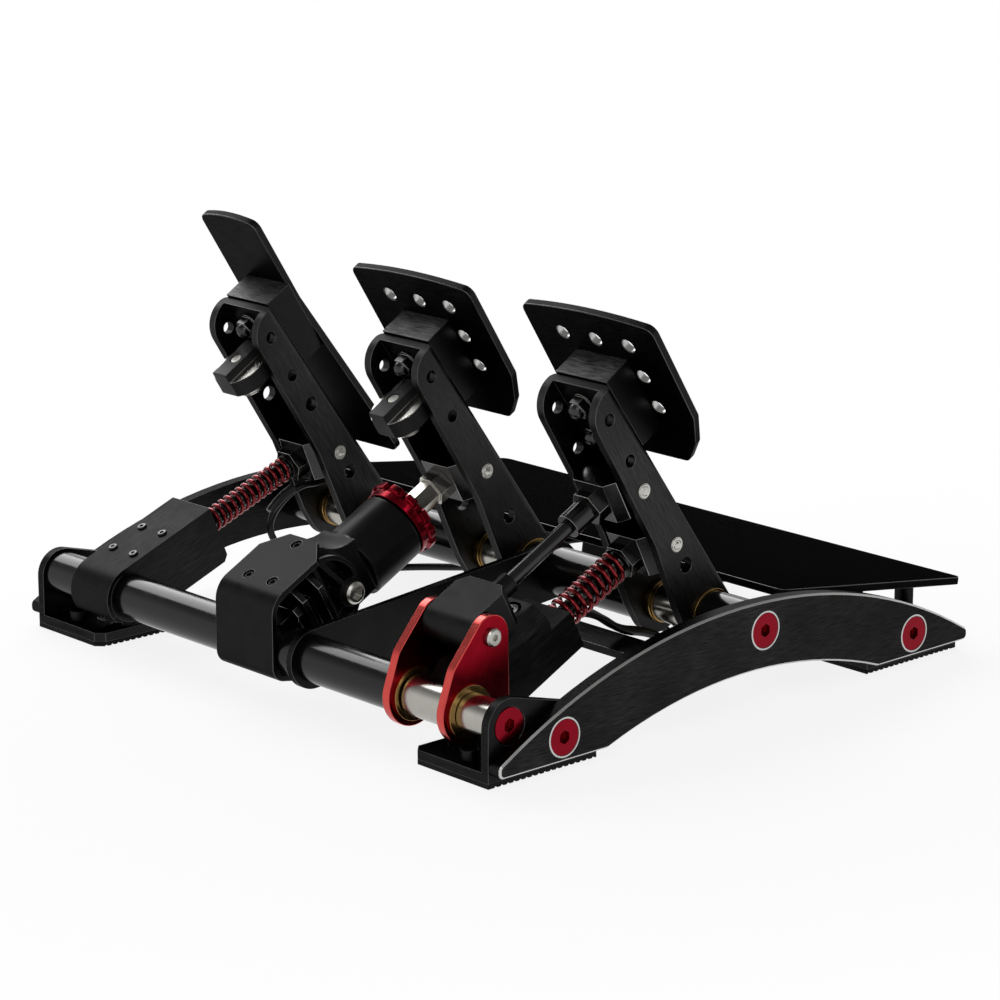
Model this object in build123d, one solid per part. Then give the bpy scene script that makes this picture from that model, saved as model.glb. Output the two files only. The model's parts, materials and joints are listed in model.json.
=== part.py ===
from build123d import *
import math
import os

# A set of three racing pedals on one frame: throttle, brake and clutch.
# X runs along the axle towards the throttle, +Y points away from the driver, +Z is up.
# The origin is on the floor, midway between the four floor holes of the feet.

# Fits and gaps
running_gap = 0.05
seat_gap = 0.05
side_gap = 0.4
overrun = 2

# Side plates
frame_width = 380
side_plate_thickness = 8
side_plate_reach = 169
side_plate_crown = 59
side_plate_tip = 12.44
side_plate_underside = 6.5
side_plate_arch_height = 23.5
side_plate_nose_radius = 3
side_plate_chamfer = 1

# Brackets under the side plates, with their rubber feet
bracket_thickness = 5
bracket_length = 71
bracket_width = 55
bracket_base_bottom = 2.5
bracket_corner = 4.4
bracket_low_end = 27.5
bracket_top_radius = 13.7
foot_tooth = 1.2
foot_tooth_pitch = 4
floor_hole_radius = 3.3
floor_hole_inset = 45
floor_hole_end = 19
floor_bolt_inset = 23.4
floor_bolt_end = 9
floor_bolt_head_radius = 4.5
floor_bolt_head_height = 5.5
floor_bolt_radius = 3

# Axle and front bar
axle_y = -11.5
axle_z = 43.4
front_bar_end = 13.5
front_bar_z = 28.8
shaft_radius = 8
axle_sleeve_radius = 13
bar_sleeve_radius = 12
bar_end_sleeve_radius = 10
bar_collar_radius = 13

# Red countersunk screws
red_head_radius = 9.1
red_head_ring = 0.6
red_head_edge = 0.8
red_head_depth = 4
red_screw_radius = 4
red_socket_width = 6
red_socket_depth = 3.2
side_screw_front_end = 41.8
side_screw_rear_end = 43.5
side_screw_z = 18.6
shaft_screw_grip = 14

# Heel plate and what carries it
heel_plate_inset = 10
heel_plate_thickness = 4
heel_plate_front_y = -34
heel_plate_overhang = 6.6
heel_plate_front_z = 58
heel_plate_rear_z = 37.5
heel_plate_corner = 5
heel_post_radius = 5
heel_post_inset = 6
heel_block_width = 12
heel_block_height = 10
heel_block_depth = 14

# Control box under the heel plate and the cables to it
box_width = 84
box_depth = 52
box_height = 18
box_corner = 3
box_x = -30
cable_radius = 2
cable_arc_share = 0.45

# Tie plate beside the brake and the cross strut under the clutch
tie_plate_x = -36
tie_plate_thickness = 4
tie_plate_radius = 15.5
strut_front_y = 37
strut_depth = 23
strut_top_z = 30
strut_thickness = 4

# Pedal arms, drawn upright about the axle and leant forward together
pedal_inset = 51
arm_lean = 32.2
arm_width = 42
arm_wall = 5
arm_length = 148.5
arm_boss_radius = 17.5
arm_rear_top = 8.5
arm_front = 11
arm_flare_height = 58
arm_flare_foot = 12
arm_web_foot = 24
arm_bend_radius = 4
arm_corner_radius = 15
arm_hole_radius = 3.25
arm_hole_heights = (107.7, 134.8)
arm_hole_front = 1.5
arm_big_hole_radius = 4
arm_low_hole = 35
arm_high_hole = 85.4
bushing_radius = 10
bushing_flange_radius = 14
bushing_flange_thickness = 1.5
bushing_lip = 2

# Pivot pins in the arms
pin_radius = 4
pin_head_proud = 0.4
low_pin_height = 49
low_pin_front = -0.5
brake_pin_height = 66.6
brake_pin_front = -1
rod_pin_height = 88.3
rod_pin_front = 2.3

# Pedal plates and the blocks behind them
pad_offset = 26
pad_thickness = 4
pad_half_width = 46
pad_top = 177
pad_top_radius = 352
pad_side_low = 116.5
pad_hip_side = 38
pad_hip_height = 98.5
pad_bottom = 84
pad_bottom_half = 26
pad_corner = 5.5
pad_hole_radius = 4
pad_hole_side = 23
pad_hole_top = 159.5
pad_hole_drop = 20
throttle_pad_top = 193
throttle_pad_top_radius = 92
throttle_pad_bottom = 30
throttle_pad_outer = 32
throttle_pad_inner_top = 15
throttle_pad_inner_bottom = 35
throttle_pad_waist = 137
pad_block_half = 18
pad_block_bottom = 106
pad_block_top = 150
pad_bolt_heights = (118.5, 137)
pad_bolt_radius = 3
pad_bolt_head_radius = 6
pad_bolt_socket = 4
acorn_width = 10
acorn_height = 5
acorn_dome_radius = 4.4
washer_radius = 6.5
washer_thickness = 1.2
thin_nut_height = 3.2

# Vibration motors in the throttle and the brake arm
motor_front = 15.5
motor_weight_radius = 15.4
motor_weight_bottom = 113
motor_weight_height = 10
motor_bar_height = 5
motor_bar_half = 6
motor_bar_reach = 14
motor_shaft_radius = 3
motor_can_radius = 7.2
motor_can_bottom = 106.5
motor_can_groove = 0.5
motor_can_rib_pitch = 1.3
motor_holder_half = 6
motor_holder_height = 4

# Swivel blocks between the cheeks, with nut and rod
block_half = 15.4
block_reach = 15
block_back = 7
block_half_height = 11.5
block_bevel = 5
nut_width = 17
nut_thickness = 7
rod_radius = 4
rod_slack = 0.8
spring_seat_thickness = 1.5
spring_end_gap = 0.3

# Springs
throttle_spring_radius = 6.9
throttle_spring_wire = 2.1
throttle_spring_turns = 16
clutch_spring_radius = 8.5
clutch_spring_wire = 2.4
clutch_spring_turns = 10
clutch_guide_radius = 5.4
clutch_guide_length = 24

# Spring housings, drawn along each rod from the front bar
housing_half = 16.5
housing_corner = 3
throttle_housing_length = 64
throttle_housing_top = 14
throttle_housing_bottom = 16.5
throttle_rod_end = 38
throttle_bore_floor = 18
cover_thickness = 2.5
cover_wrap = 110
spring_pocket_depth = 8
spring_side_gap = 0.7
housing_screw_radius = 2.6
housing_screw_height = 1.2
housing_screw_stem = 1.5
housing_screw_length = 8
housing_screw_socket = 2
housing_screw_side = 9
housing_screw_places = (14, 35)
clamp_screw_angle = 143
clutch_axis_drop = 12.5
clutch_box_end = 80
clutch_box_half_height = 10.5
clutch_block_end = 66
clutch_block_top = 12
clutch_block_bevel = 7
clutch_hub_radius = 14.5
clutch_hub_half = 14.5
clutch_pocket_depth = 3
clutch_rod_end = 34
clutch_bore_floor = 14
cap_screw_radius = 6
cap_screw_height = 4
cap_screw_stem = 3
cap_screw_length = 12
cap_screw_socket = 5
cap_screw_gap = 0.5
cap_screw_place = 57.8

# Red cams on the front bar, the push rod and its end
cam_spread = 44.5
cam_thickness = 5
cam_hub_radius = 16.5
cam_top_radius = 11
cam_belly_y = -2
cam_belly_z = 16
cam_belly_radius = 13
cam_heel_y = -18.4
cam_heel_z = 2
cam_heel_radius = 8
cam_pin_y = -14.9
cam_pin_z = 34.2
cam_bushing_radius = 13.5
cam_bushing_wall = 2
cam_screw_radius = 4.6
cam_screw_height = 2.6
cam_screw_socket = 3
cam_stub_radius = 2.5
cam_stub_reach = 2
rod_eye_radius = 10.5
rod_eye_bore = 6.5
rod_eye_length = 24
rod_eye_bevel = 5
rod_eye_half = 16.6
push_rod_radius = 3.8
push_rod_collar_radius = 6.5
push_rod_collar_length = 14
push_rod_foot_radius = 5.5
push_rod_foot_length = 12

# Brake cylinder and its red ring, drawn along the rod from the front bar
cylinder_radius = 19.5
cylinder_start = 64
cylinder_end = 97
cylinder_bore = 9
cylinder_foot_front = 32
cylinder_foot_centre = 33
cylinder_foot_rise = 7.2
cylinder_foot_radius = 22.5
cylinder_foot_half = 18
cylinder_waist_half = 13
cylinder_waist_radius = 24
cylinder_rib = 3
cylinder_rib_turn = 20
cylinder_pocket_depth = 9
clevis_bolt_place = 47.5
clevis_boss_radius = 8
clevis_bolt_radius = 6
clevis_bolt_height = 4
clevis_bolt_stem = 4
clevis_bolt_socket = 6
ring_radius = 21.5
ring_band_radius = 19.8
ring_start = 98
ring_step = 102.5
ring_end = 107
ring_chamfer = 0.6
ring_notches = 12
ring_notch_radius = 2.5
thread_radius = 15
thread_end = 106
brake_rod_width = 12.6
brake_collar_width = 15.5
brake_collar_length = 9
brake_rod_end = 76
brake_bore_floor = 62

# Bent clamp plate and load cell, drawn level about the front bar
clamp_half = 23
clamp_thickness = 3
clamp_rear_y = -24.8
clamp_rear_z = 50.9
clamp_front_y = 15
clamp_brow_radius = 14
clamp_toe_z = -12.4
clamp_toe_radius = 8
clamp_tail_y = -5.5
clamp_tail_z = -15.9
clamp_corner = 12
clamp_screw_radius = 3
clamp_screw_stem = 1.6
clamp_screw_sink = 0.6
clamp_screw_height = 1.6
clamp_screw_length = 7
clamp_screw_socket = 2.5
clamp_screw_side = 9.5
clamp_screw_front_place = 13.5
clamp_screw_rear_place = 40.5
cell_hub_radius = 11.5
cell_half = 21
cell_plate_thickness = 3.4
cell_front_plate = 17
cell_top = 26
cell_bottom = 16
cell_corner = 8
cell_core_half = 10
cell_cap_half = 14
cell_cap_start = 10
cell_bolt_width = 8
cell_bolt_height = 4
cell_bolt_side = 13
cell_bolt_rise = 11

# Places worked out from the sizes above
half_width = frame_width / 2
inner_x = half_width - side_plate_thickness
pedal_pitch = inner_x - pedal_inset
front_bar_y = side_plate_reach - front_bar_end
side_screw_front_y = side_plate_reach - side_screw_front_end
side_screw_rear_y = side_screw_rear_end - side_plate_reach
floor_hole_side = inner_x - floor_hole_inset
floor_hole_reach = side_plate_reach - floor_hole_end
floor_bolt_side = inner_x - floor_bolt_inset
floor_bolt_reach = side_plate_reach - floor_bolt_end
heel_plate_width = frame_width - 2 * heel_plate_inset
heel_plate_rear_y = -side_plate_reach - heel_plate_overhang
bracket_inner_x = inner_x - bracket_thickness
bracket_base_top = bracket_base_bottom + bracket_thickness
bracket_far_y = front_bar_y + bracket_top_radius
bracket_near_y = bracket_far_y - bracket_length
tie_low_x = tie_plate_x - tie_plate_thickness / 2
tie_high_x = tie_plate_x + tie_plate_thickness / 2
arm_half = arm_width / 2
arm_taper = (arm_boss_radius - arm_rear_top) / arm_length
lean = math.radians(arm_lean)
far = 2 * arm_length
low_end = (Align.CENTER, Align.CENTER, Align.MIN)
low_corner = (Align.MIN, Align.MIN, Align.MIN)


def slab(outline, x_low, x_high):
    """An outline drawn in Y and Z, as a slab between two X."""
    return extrude(Plane.YZ.offset(x_low) * outline, amount=x_high - x_low, dir=(1, 0, 0))


def bar_x(radius, x_low, x_high, y=0, z=0):
    """A round bar along X."""
    return Pos(x_low, y, z) * Rot(0, 90, 0) * Cylinder(radius, x_high - x_low, align=low_end)


def bar_y(radius, y_low, y_high, x=0, z=0):
    """A round bar along Y."""
    return Pos(x, y_low, z) * Rot(-90, 0, 0) * Cylinder(radius, y_high - y_low, align=low_end)


def bar_z(radius, z_low, z_high, x=0, y=0):
    """A round bar along Z."""
    return Pos(x, y, z_low) * Cylinder(radius, z_high - z_low, align=low_end)


def block(x_low, x_high, y_low, y_high, z_low, z_high):
    """A plain block between its six faces."""
    return Pos(x_low, y_low, z_low) * Box(x_high - x_low, y_high - y_low, z_high - z_low, align=low_corner)


def rectangle(x_low, x_high, y_low, y_high):
    """A plain rectangle between its four sides."""
    return Pos(x_low, y_low) * Rectangle(x_high - x_low, y_high - y_low, align=(Align.MIN, Align.MIN))


def outline_of(*points):
    """A straight-sided outline through the points, turned to face up."""
    area = sum(a[0] * b[1] - b[0] * a[1] for a, b in zip(points, points[1:] + points[:1]))
    return Polygon(*(points if area > 0 else points[::-1]), align=None)


def hull_of(*sketches):
    """The tightest outline round some sketches."""
    edges = [edge for sketch in sketches for edge in sketch.edges()]
    return make_hull(ShapeList(edges))


def hexagon(width, height):
    """A hexagonal prism standing on Z = 0, by its width across flats."""
    return extrude(RegularPolygon(width / 2, 6, major_radius=False), amount=height)


def both_sides(shape):
    """A shape and its mirror image across the middle plane."""
    return [shape, mirror(shape, about=Plane.YZ)]


def four_corners(shape):
    """A shape and its mirror images at the other three corners."""
    return [copy for half in (shape, mirror(shape, about=Plane.XZ)) for copy in both_sides(half)]


def placed(place, shapes):
    """Some shapes moved to a place."""
    return [place * shape for shape in shapes]


def socket_screw(radius, height, stem_radius, length, socket):
    """A round-headed screw along Z with its head above Z = 0 and a hexagonal socket."""
    head = bar_z(radius, 0, height)
    head = chamfer(head.edges().sort_by(Axis.Z)[-1], height / 3)
    return head + bar_z(stem_radius, -length, 0) - Pos(0, 0, height / 3) * hexagon(socket, height)


def write(name, *shapes):
    """Write every solid of the shapes as one named piece."""
    solids = [solid for shape in shapes for solid in shape.solids()]
    export_step(Compound(solids), os.path.join("parts", name + ".step"))


# Frame

def facing_left(x, y, z):
    """A place on the clutch side whose outward normal is -X."""
    return Pos(x, y, z) * Rot(0, -90, 0)


def red_screw(length):
    """A countersunk screw along Z, its flat head at Z = 0."""
    depth = red_head_depth - red_head_edge
    head = bar_z(red_head_radius, -red_head_edge, 0)
    cone = Pos(0, 0, -red_head_edge - depth / 2) * Cone(red_screw_radius, red_head_radius, depth)
    socket = Pos(0, 0, -red_socket_depth) * hexagon(red_socket_width, red_head_depth)
    return head + cone + bar_z(red_screw_radius, -length, 0) - socket


def red_screw_hole(length):
    """What a red screw takes out of its plate, with a ring left open round the head."""
    depth = red_head_depth - red_head_edge
    mouth = bar_z(red_head_radius + red_head_ring, -red_head_edge, overrun)
    cone = Pos(0, 0, -red_head_edge - depth / 2) * Cone(
        red_screw_radius + seat_gap, red_head_radius + seat_gap, depth)
    return mouth + cone + bar_z(red_screw_radius + seat_gap, -length - overrun, 0)


def red_screw_places():
    """Each red screw on the clutch side: X of its head, Y, Z and length."""
    plate_length = side_plate_thickness + bracket_thickness
    return [
        (-half_width, side_screw_front_y, side_screw_z, plate_length),
        (-half_width, side_screw_rear_y, side_screw_z, plate_length),
        (-half_width, axle_y, axle_z, side_plate_thickness + shaft_screw_grip),
        (-inner_x, front_bar_y, front_bar_z, bracket_thickness + shaft_screw_grip)]


def red_screws():
    """The red screws of both sides."""
    return [screw for x, y, z, length in red_screw_places()
            for screw in both_sides(facing_left(x, y, z) * red_screw(length))]


def cut_red_screws(body):
    """A piece of the clutch side with the holes of the red screws taken out."""
    for x, y, z, length in red_screw_places():
        body -= facing_left(x, y, z) * red_screw_hole(length)
    return body


def arc_radius(half_span, rise):
    """Radius of an arc, from half its span and its rise."""
    return (half_span ** 2 + rise ** 2) / (2 * rise)


def crown():
    """The arch that tops a side plate."""
    radius = arc_radius(side_plate_reach, side_plate_crown - side_plate_tip)
    return Pos(0, side_plate_crown - radius) * Circle(radius)


def side_plate():
    """The arched plate on the clutch side, with a bare chamfer round its outer face."""
    radius = arc_radius(side_plate_reach - bracket_length, side_plate_arch_height - side_plate_underside)
    arch = Pos(0, side_plate_arch_height - radius) * Circle(radius)
    band = rectangle(-side_plate_reach, side_plate_reach, side_plate_underside, side_plate_crown)
    outline = (crown() & band) - arch
    tips = outline.vertices().filter_by(lambda v: abs(v.X) > side_plate_reach - side_plate_chamfer)
    outline = fillet(tips, side_plate_nose_radius)
    plate = slab(outline, -half_width, -inner_x)
    plate = chamfer(plate.faces().sort_by(Axis.X)[0].edges(), side_plate_chamfer)
    return cut_red_screws(plate)


def base_outline():
    """The plan of one bracket's foot at the front, with its floor hole and bolt hole."""
    outline = rectangle(-inner_x, -inner_x + bracket_width, bracket_near_y, bracket_far_y)
    outline = chamfer(outline.vertices().sort_by(Axis.X)[-2:], bracket_corner)
    outline -= Pos(-floor_hole_side, floor_hole_reach) * Circle(floor_hole_radius)
    return outline - Pos(-floor_bolt_side, floor_bolt_reach) * Circle(floor_bolt_radius + seat_gap)


def foot():
    """A rubber foot under one bracket, with teeth across its length."""
    pad = extrude(base_outline(), amount=bracket_base_bottom)
    half = foot_tooth_pitch / 4
    for i in range(int(bracket_length / foot_tooth_pitch)):
        y = bracket_near_y + (i + 1 / 2) * foot_tooth_pitch
        pad -= slab(outline_of((y - half, 0), (y, foot_tooth), (y + half, 0)), -half_width, 0)
    return pad


def bracket(wall):
    """An L bracket at the front, from the outline of its upright wall."""
    base = Pos(0, 0, bracket_base_bottom) * extrude(base_outline(), amount=bracket_thickness)
    return base + slab(wall, -inner_x, -bracket_inner_x)


def brackets():
    """The front brackets round the bar's ends and the rear ones under the arch."""
    low = rectangle(bracket_near_y, bracket_far_y, bracket_base_bottom, bracket_low_end)
    rim = Pos(front_bar_y, front_bar_z) * Circle(bracket_top_radius)
    front = cut_red_screws(bracket(hull_of(rim, low)))
    rear = cut_red_screws(mirror(bracket(low & crown()), about=Plane.XZ))
    return both_sides(front) + both_sides(rear)


def floor_bolt():
    """A smooth round bolt head on a bracket, with its shank in the rubber."""
    head = bar_z(floor_bolt_head_radius, 0, floor_bolt_head_height)
    head = chamfer(head.edges().sort_by(Axis.Z)[-1], side_plate_chamfer / 2)
    shank = bar_z(floor_bolt_radius, foot_tooth - bracket_base_top, 0)
    return Pos(-floor_bolt_side, floor_bolt_reach, bracket_base_top) * (head + shank)


def shaft(end, y, z):
    """A steel shaft tapped at both ends."""
    solid = bar_x(shaft_radius, -end, end, y, z)
    depth = shaft_screw_grip + overrun
    for low, high in ((-end - overrun, -end + depth), (end - depth, end + overrun)):
        solid -= bar_x(red_screw_radius + seat_gap, low, high, y, z)
    return solid


def sleeve(radius, x_low, x_high, y, z):
    """A spacer tube on a shaft."""
    bore = bar_x(shaft_radius + seat_gap, x_low - overrun, x_high + overrun, y, z)
    return bar_x(radius, x_low, x_high, y, z) - bore


def axle_sleeves():
    """The tubes between the arms, the tie plate and the side plates."""
    reach = arm_half + bushing_flange_thickness + side_gap
    spans = [(-inner_x, -pedal_pitch - reach), (-pedal_pitch + reach, tie_low_x), (tie_high_x, -reach),
             (reach, pedal_pitch - reach), (pedal_pitch + reach, inner_x)]
    return [sleeve(axle_sleeve_radius, low, high, axle_y, axle_z) for low, high in spans]


def bar_sleeves():
    """The tubes on the front bar."""
    cam_out = cam_spread / 2 + bushing_flange_thickness + side_gap
    cam_in = cam_spread / 2 + side_gap
    clamp_out = clamp_half + side_gap
    housing_out = housing_half + side_gap
    spans = [(bar_end_sleeve_radius, -bracket_inner_x, -pedal_pitch - cam_out),
             (bar_sleeve_radius, -pedal_pitch + cam_in, tie_low_x),
             (bar_collar_radius, tie_high_x, -clamp_out),
             (bar_sleeve_radius, clamp_out, pedal_pitch - housing_out),
             (bar_sleeve_radius, pedal_pitch + housing_out, bracket_inner_x)]
    return [sleeve(radius, low, high, front_bar_y, front_bar_z) for radius, low, high in spans]


def on_heel_plate():
    """The middle of the heel plate's upper face, tilted with it."""
    run = heel_plate_front_y - heel_plate_rear_y
    rise = heel_plate_front_z - heel_plate_rear_z
    middle_y = (heel_plate_front_y + heel_plate_rear_y) / 2
    middle_z = (heel_plate_front_z + heel_plate_rear_z) / 2
    return Pos(0, middle_y, middle_z) * Rot(math.degrees(math.atan2(rise, run)), 0, 0)


def heel_plate():
    """The plate for the driver's heels, sloping down towards the driver."""
    length = math.hypot(heel_plate_front_y - heel_plate_rear_y, heel_plate_front_z - heel_plate_rear_z)
    face = RectangleRounded(heel_plate_width, length, heel_plate_corner)
    return on_heel_plate() * extrude(face, amount=-heel_plate_thickness)


def heel_supports():
    """Posts on the rear brackets and blocks on the side plates that carry the heel plate."""
    above = on_heel_plate() * Pos(0, 0, -heel_plate_thickness) * block(
        -half_width, half_width, heel_plate_rear_y, -heel_plate_rear_y, 0, frame_width)
    side = -bracket_inner_x + heel_post_radius + heel_post_inset
    near_y = -bracket_near_y - heel_post_inset
    far_y = -floor_bolt_reach + floor_bolt_head_radius + heel_post_radius + heel_post_inset
    pieces = [bar_z(heel_post_radius, bracket_base_top, heel_plate_front_z, side, y) - above
              for y in (near_y, far_y)]
    front_y = heel_plate_front_y - heel_post_inset
    carrier = block(-inner_x, -inner_x + heel_block_width, front_y - heel_block_depth, front_y,
                    heel_plate_front_z - heel_plate_thickness - heel_block_height, heel_plate_front_z)
    pieces.append(carrier - above)
    return [copy for piece in pieces for copy in both_sides(piece)]


def control_box():
    """A flat box hung under the heel plate, where the cables end."""
    top = -heel_plate_thickness
    body = block(box_x - box_width / 2, box_x + box_width / 2, -box_depth / 2, box_depth / 2,
                 top - box_height, top)
    return on_heel_plate() * fillet(body.edges().filter_by(Axis.Z), box_corner)


def tie_plate():
    """The long plate beside the brake, from the front bar to the axle."""
    ends = [(front_bar_y, front_bar_z), (axle_y, axle_z)]
    plate = slab(hull_of(*[Pos(y, z) * Circle(tie_plate_radius) for y, z in ends]), tie_low_x, tie_high_x)
    for y, z in ends:
        plate -= bar_x(shaft_radius + seat_gap, tie_low_x - overrun, tie_high_x + overrun, y, z)
    return plate


def cross_strut():
    """A flat bar under the clutch, from the side plate to the tie plate."""
    return block(-inner_x, tie_low_x, strut_front_y - strut_depth, strut_front_y,
                 strut_top_z - strut_thickness, strut_top_z)


# Cables

def cable(name, middle, route, box_end):
    """A round cable from a pedal along straight runs and the largest arcs, ending square on the box."""
    points = [(middle + x, y, z) for x, y, z in route]
    top = -heel_plate_thickness - box_height / 2
    for run in (box_depth / 3, 0):
        spot = on_heel_plate() * Pos(box_end, box_depth / 2 + run, top)
        points.append(tuple(spot.position))
    places = [Vector(*point) for point in points]
    radii = []
    for a, b, c in zip(places, places[1:], places[2:]):
        half_turn = math.radians((b - a).get_angle(c - b)) / 2
        radii.append(cable_arc_share * min((b - a).length, (c - b).length) / math.tan(half_turn))
    print(name, "arc radii", [round(radius, 1) for radius in radii])
    path = FilletPolyline(*places, radius=radii)
    return sweep(Plane(origin=path @ 0, z_dir=path % 0) * Circle(cable_radius), path=path)


# Each route by X from the middle of its pedal, Y and Z
throttle_route = [
    (-6, -1, 71.5), (-6, 14, 65), (-6, 34, 67), (-6, 57, 49), (-6, 43, 28), (-9, 20, 17), (-19, -4, 14),
    (-39, -28, 15), (-69, -37, 19), (-103, -34, 28)]
clutch_route = [
    (14, 74.6, 46.6), (14, 60, 53.5), (14, 41, 49), (13.5, 22, 35), (13, 4, 31), (13, -14, 22),
    (23, -30, 19), (59, -36, 26)]
clutch_second_route = [
    (9.5, 74.6, 46.6), (9.5, 60, 52.5), (9.5, 40, 47.5), (9.5, 22, 34.5), (9.5, 4, 30.5),
    (9, -14, 21), (18, -38, 18), (60, -46, 27)]


# Pedals, drawn upright: X across, +Y to the front, Z up the arm from the axle

def in_pedal(x):
    """The place of an upright pedal on the axle, leant forward."""
    return Pos(x, axle_y, axle_z) * Rot(-arm_lean, 0, 0)


def rear_line(height):
    """Y of the arm's rear face at a height."""
    return -arm_boss_radius + arm_taper * height


def arm(pins, big_holes):
    """A channel with two cheeks and a web behind, bored for the axle and its pins."""
    profile = outline_of(
        (rear_line(0), 0), (rear_line(arm_length), arm_length), (arm_front, arm_length),
        (arm_front, arm_flare_height), (arm_boss_radius, arm_flare_foot), (arm_boss_radius, 0))
    corner = profile.vertices().group_by(Axis.Y)[-1].sort_by(Axis.X)[-1]
    profile = fillet(corner, arm_corner_radius) + Circle(arm_boss_radius)
    section = RectangleRounded(arm_width, far, arm_bend_radius, align=(Align.CENTER, Align.MIN))
    along = Plane(origin=(0, rear_line(0), 0), x_dir=(1, 0, 0), z_dir=(0, arm_taper, 1))
    body = slab(profile, -arm_half, arm_half) & extrude(along.offset(-arm_length) * section, amount=2 * far)
    pocket = outline_of(
        (rear_line(arm_web_foot) + arm_wall, arm_web_foot), (rear_line(far) + arm_wall, far), (far, far),
        (far, -far), (-far, -far), (-far, arm_web_foot))
    body -= slab(pocket, -arm_half + arm_wall, arm_half - arm_wall)
    through = arm_half + overrun
    body -= bar_x(bushing_radius + seat_gap, -through, through)
    for height in arm_hole_heights:
        body -= bar_x(arm_hole_radius, -through, through, arm_hole_front, height)
    for height in big_holes:
        body -= bar_x(arm_big_hole_radius, -through, through, 0, height)
    for front, height in pins:
        body -= bar_x(pin_radius + seat_gap, -through, through, front, height)
    for height in pad_bolt_heights:
        body -= bar_y(pad_bolt_radius + seat_gap, -far, 0, 0, height)
    return body


def bushings():
    """Flanged bronze bushings, one in each cheek, with a short lip inside."""
    bush = bar_x(bushing_flange_radius, arm_half, arm_half + bushing_flange_thickness)
    bush += bar_x(bushing_radius, arm_half - arm_wall - bushing_lip, arm_half)
    return both_sides(bush - bar_x(shaft_radius + running_gap, 0, arm_width))


def pivot_pins(places):
    """Bright pivot pins through both cheeks."""
    half = arm_half + pin_head_proud
    return [bar_x(pin_radius, -half, half, front, height) for front, height in places]


def pad_outline():
    """The square plate with an arched top, drawn-in lower corners and seven holes."""
    outline = outline_of(
        (-pad_half_width, pad_top), (pad_half_width, pad_top), (pad_half_width, pad_side_low),
        (pad_hip_side, pad_hip_height), (pad_bottom_half, pad_bottom), (-pad_bottom_half, pad_bottom),
        (-pad_hip_side, pad_hip_height), (-pad_half_width, pad_side_low))
    outline &= Pos(0, pad_top - pad_top_radius) * Circle(pad_top_radius)
    outline = fillet(outline.vertices(), pad_corner)
    outline -= Pos(0, pad_hole_top) * Circle(pad_hole_radius)
    for side in (-pad_hole_side, pad_hole_side):
        for i in range(3):
            outline -= Pos(side, pad_hole_top - i * pad_hole_drop) * Circle(pad_hole_radius)
    return outline


def throttle_pad_outline():
    """The long plate with an arched top that widens from its waist to its foot."""
    outline = outline_of(
        (-throttle_pad_inner_top, throttle_pad_top), (throttle_pad_outer, throttle_pad_top),
        (throttle_pad_outer, throttle_pad_bottom), (-throttle_pad_inner_bottom, throttle_pad_bottom),
        (-throttle_pad_inner_top, throttle_pad_waist))
    middle = (throttle_pad_outer - throttle_pad_inner_top) / 2
    outline &= Pos(middle, throttle_pad_top - throttle_pad_top_radius) * Circle(throttle_pad_top_radius)
    return fillet(outline.vertices(), pad_corner)


def pad_bolt_place(height):
    """A place on the plate's driver side whose outward normal is -Y."""
    return Pos(0, -pad_offset - pad_thickness, height) * Rot(90, 0, 0)


def pad_bolt_cone(gap):
    """The countersunk part of a pad bolt, larger by a gap."""
    depth = pad_bolt_head_radius - pad_bolt_radius
    return Pos(0, 0, -depth / 2) * Cone(pad_bolt_radius + gap, pad_bolt_head_radius + gap, depth)


def pad(outline):
    """A pedal plate with countersinks for its two bolts."""
    plate = extrude(Plane.XZ.offset(pad_offset) * outline, amount=pad_thickness, dir=(0, -1, 0))
    hole = pad_bolt_cone(seat_gap) + bar_z(pad_bolt_radius + seat_gap, -pad_offset, 0)
    for height in pad_bolt_heights:
        plate -= pad_bolt_place(height) * hole
    return plate


def pad_block():
    """The block between the arm's web and the plate."""
    outline = outline_of(
        (rear_line(pad_block_bottom), pad_block_bottom), (rear_line(pad_block_top), pad_block_top),
        (-pad_offset, pad_block_top), (-pad_offset, pad_block_bottom))
    body = slab(outline, -pad_block_half, pad_block_half)
    for height in pad_bolt_heights:
        body -= bar_y(pad_bolt_radius + seat_gap, -far, 0, 0, height)
    return body


def acorn_nut():
    """A domed nut on its washer, standing on Z = 0."""
    washer = bar_z(washer_radius, 0, washer_thickness)
    body = Pos(0, 0, washer_thickness) * hexagon(acorn_width, acorn_height)
    dome = Sphere(acorn_dome_radius) & bar_z(acorn_width, 0, acorn_width)
    return washer + body + Pos(0, 0, washer_thickness + acorn_height) * dome


def pad_fasteners(low_nut):
    """Two countersunk bolts from the driver's side, with a nut of its own kind on the lower one."""
    solids = []
    for height, nut in zip(pad_bolt_heights, (low_nut, acorn_nut())):
        web_front = rear_line(height) + arm_wall + washer_radius * arm_taper
        bolt = bar_z(pad_bolt_radius, -pad_offset - pad_thickness - web_front, 0) + pad_bolt_cone(0)
        bolt -= Pos(0, 0, -pad_bolt_radius) * hexagon(pad_bolt_socket, pad_bolt_head_radius)
        solids.append(pad_bolt_place(height) * bolt)
        solids.append(Pos(0, web_front, height) * Rot(-90, 0, 0) * nut)
    return solids


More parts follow.
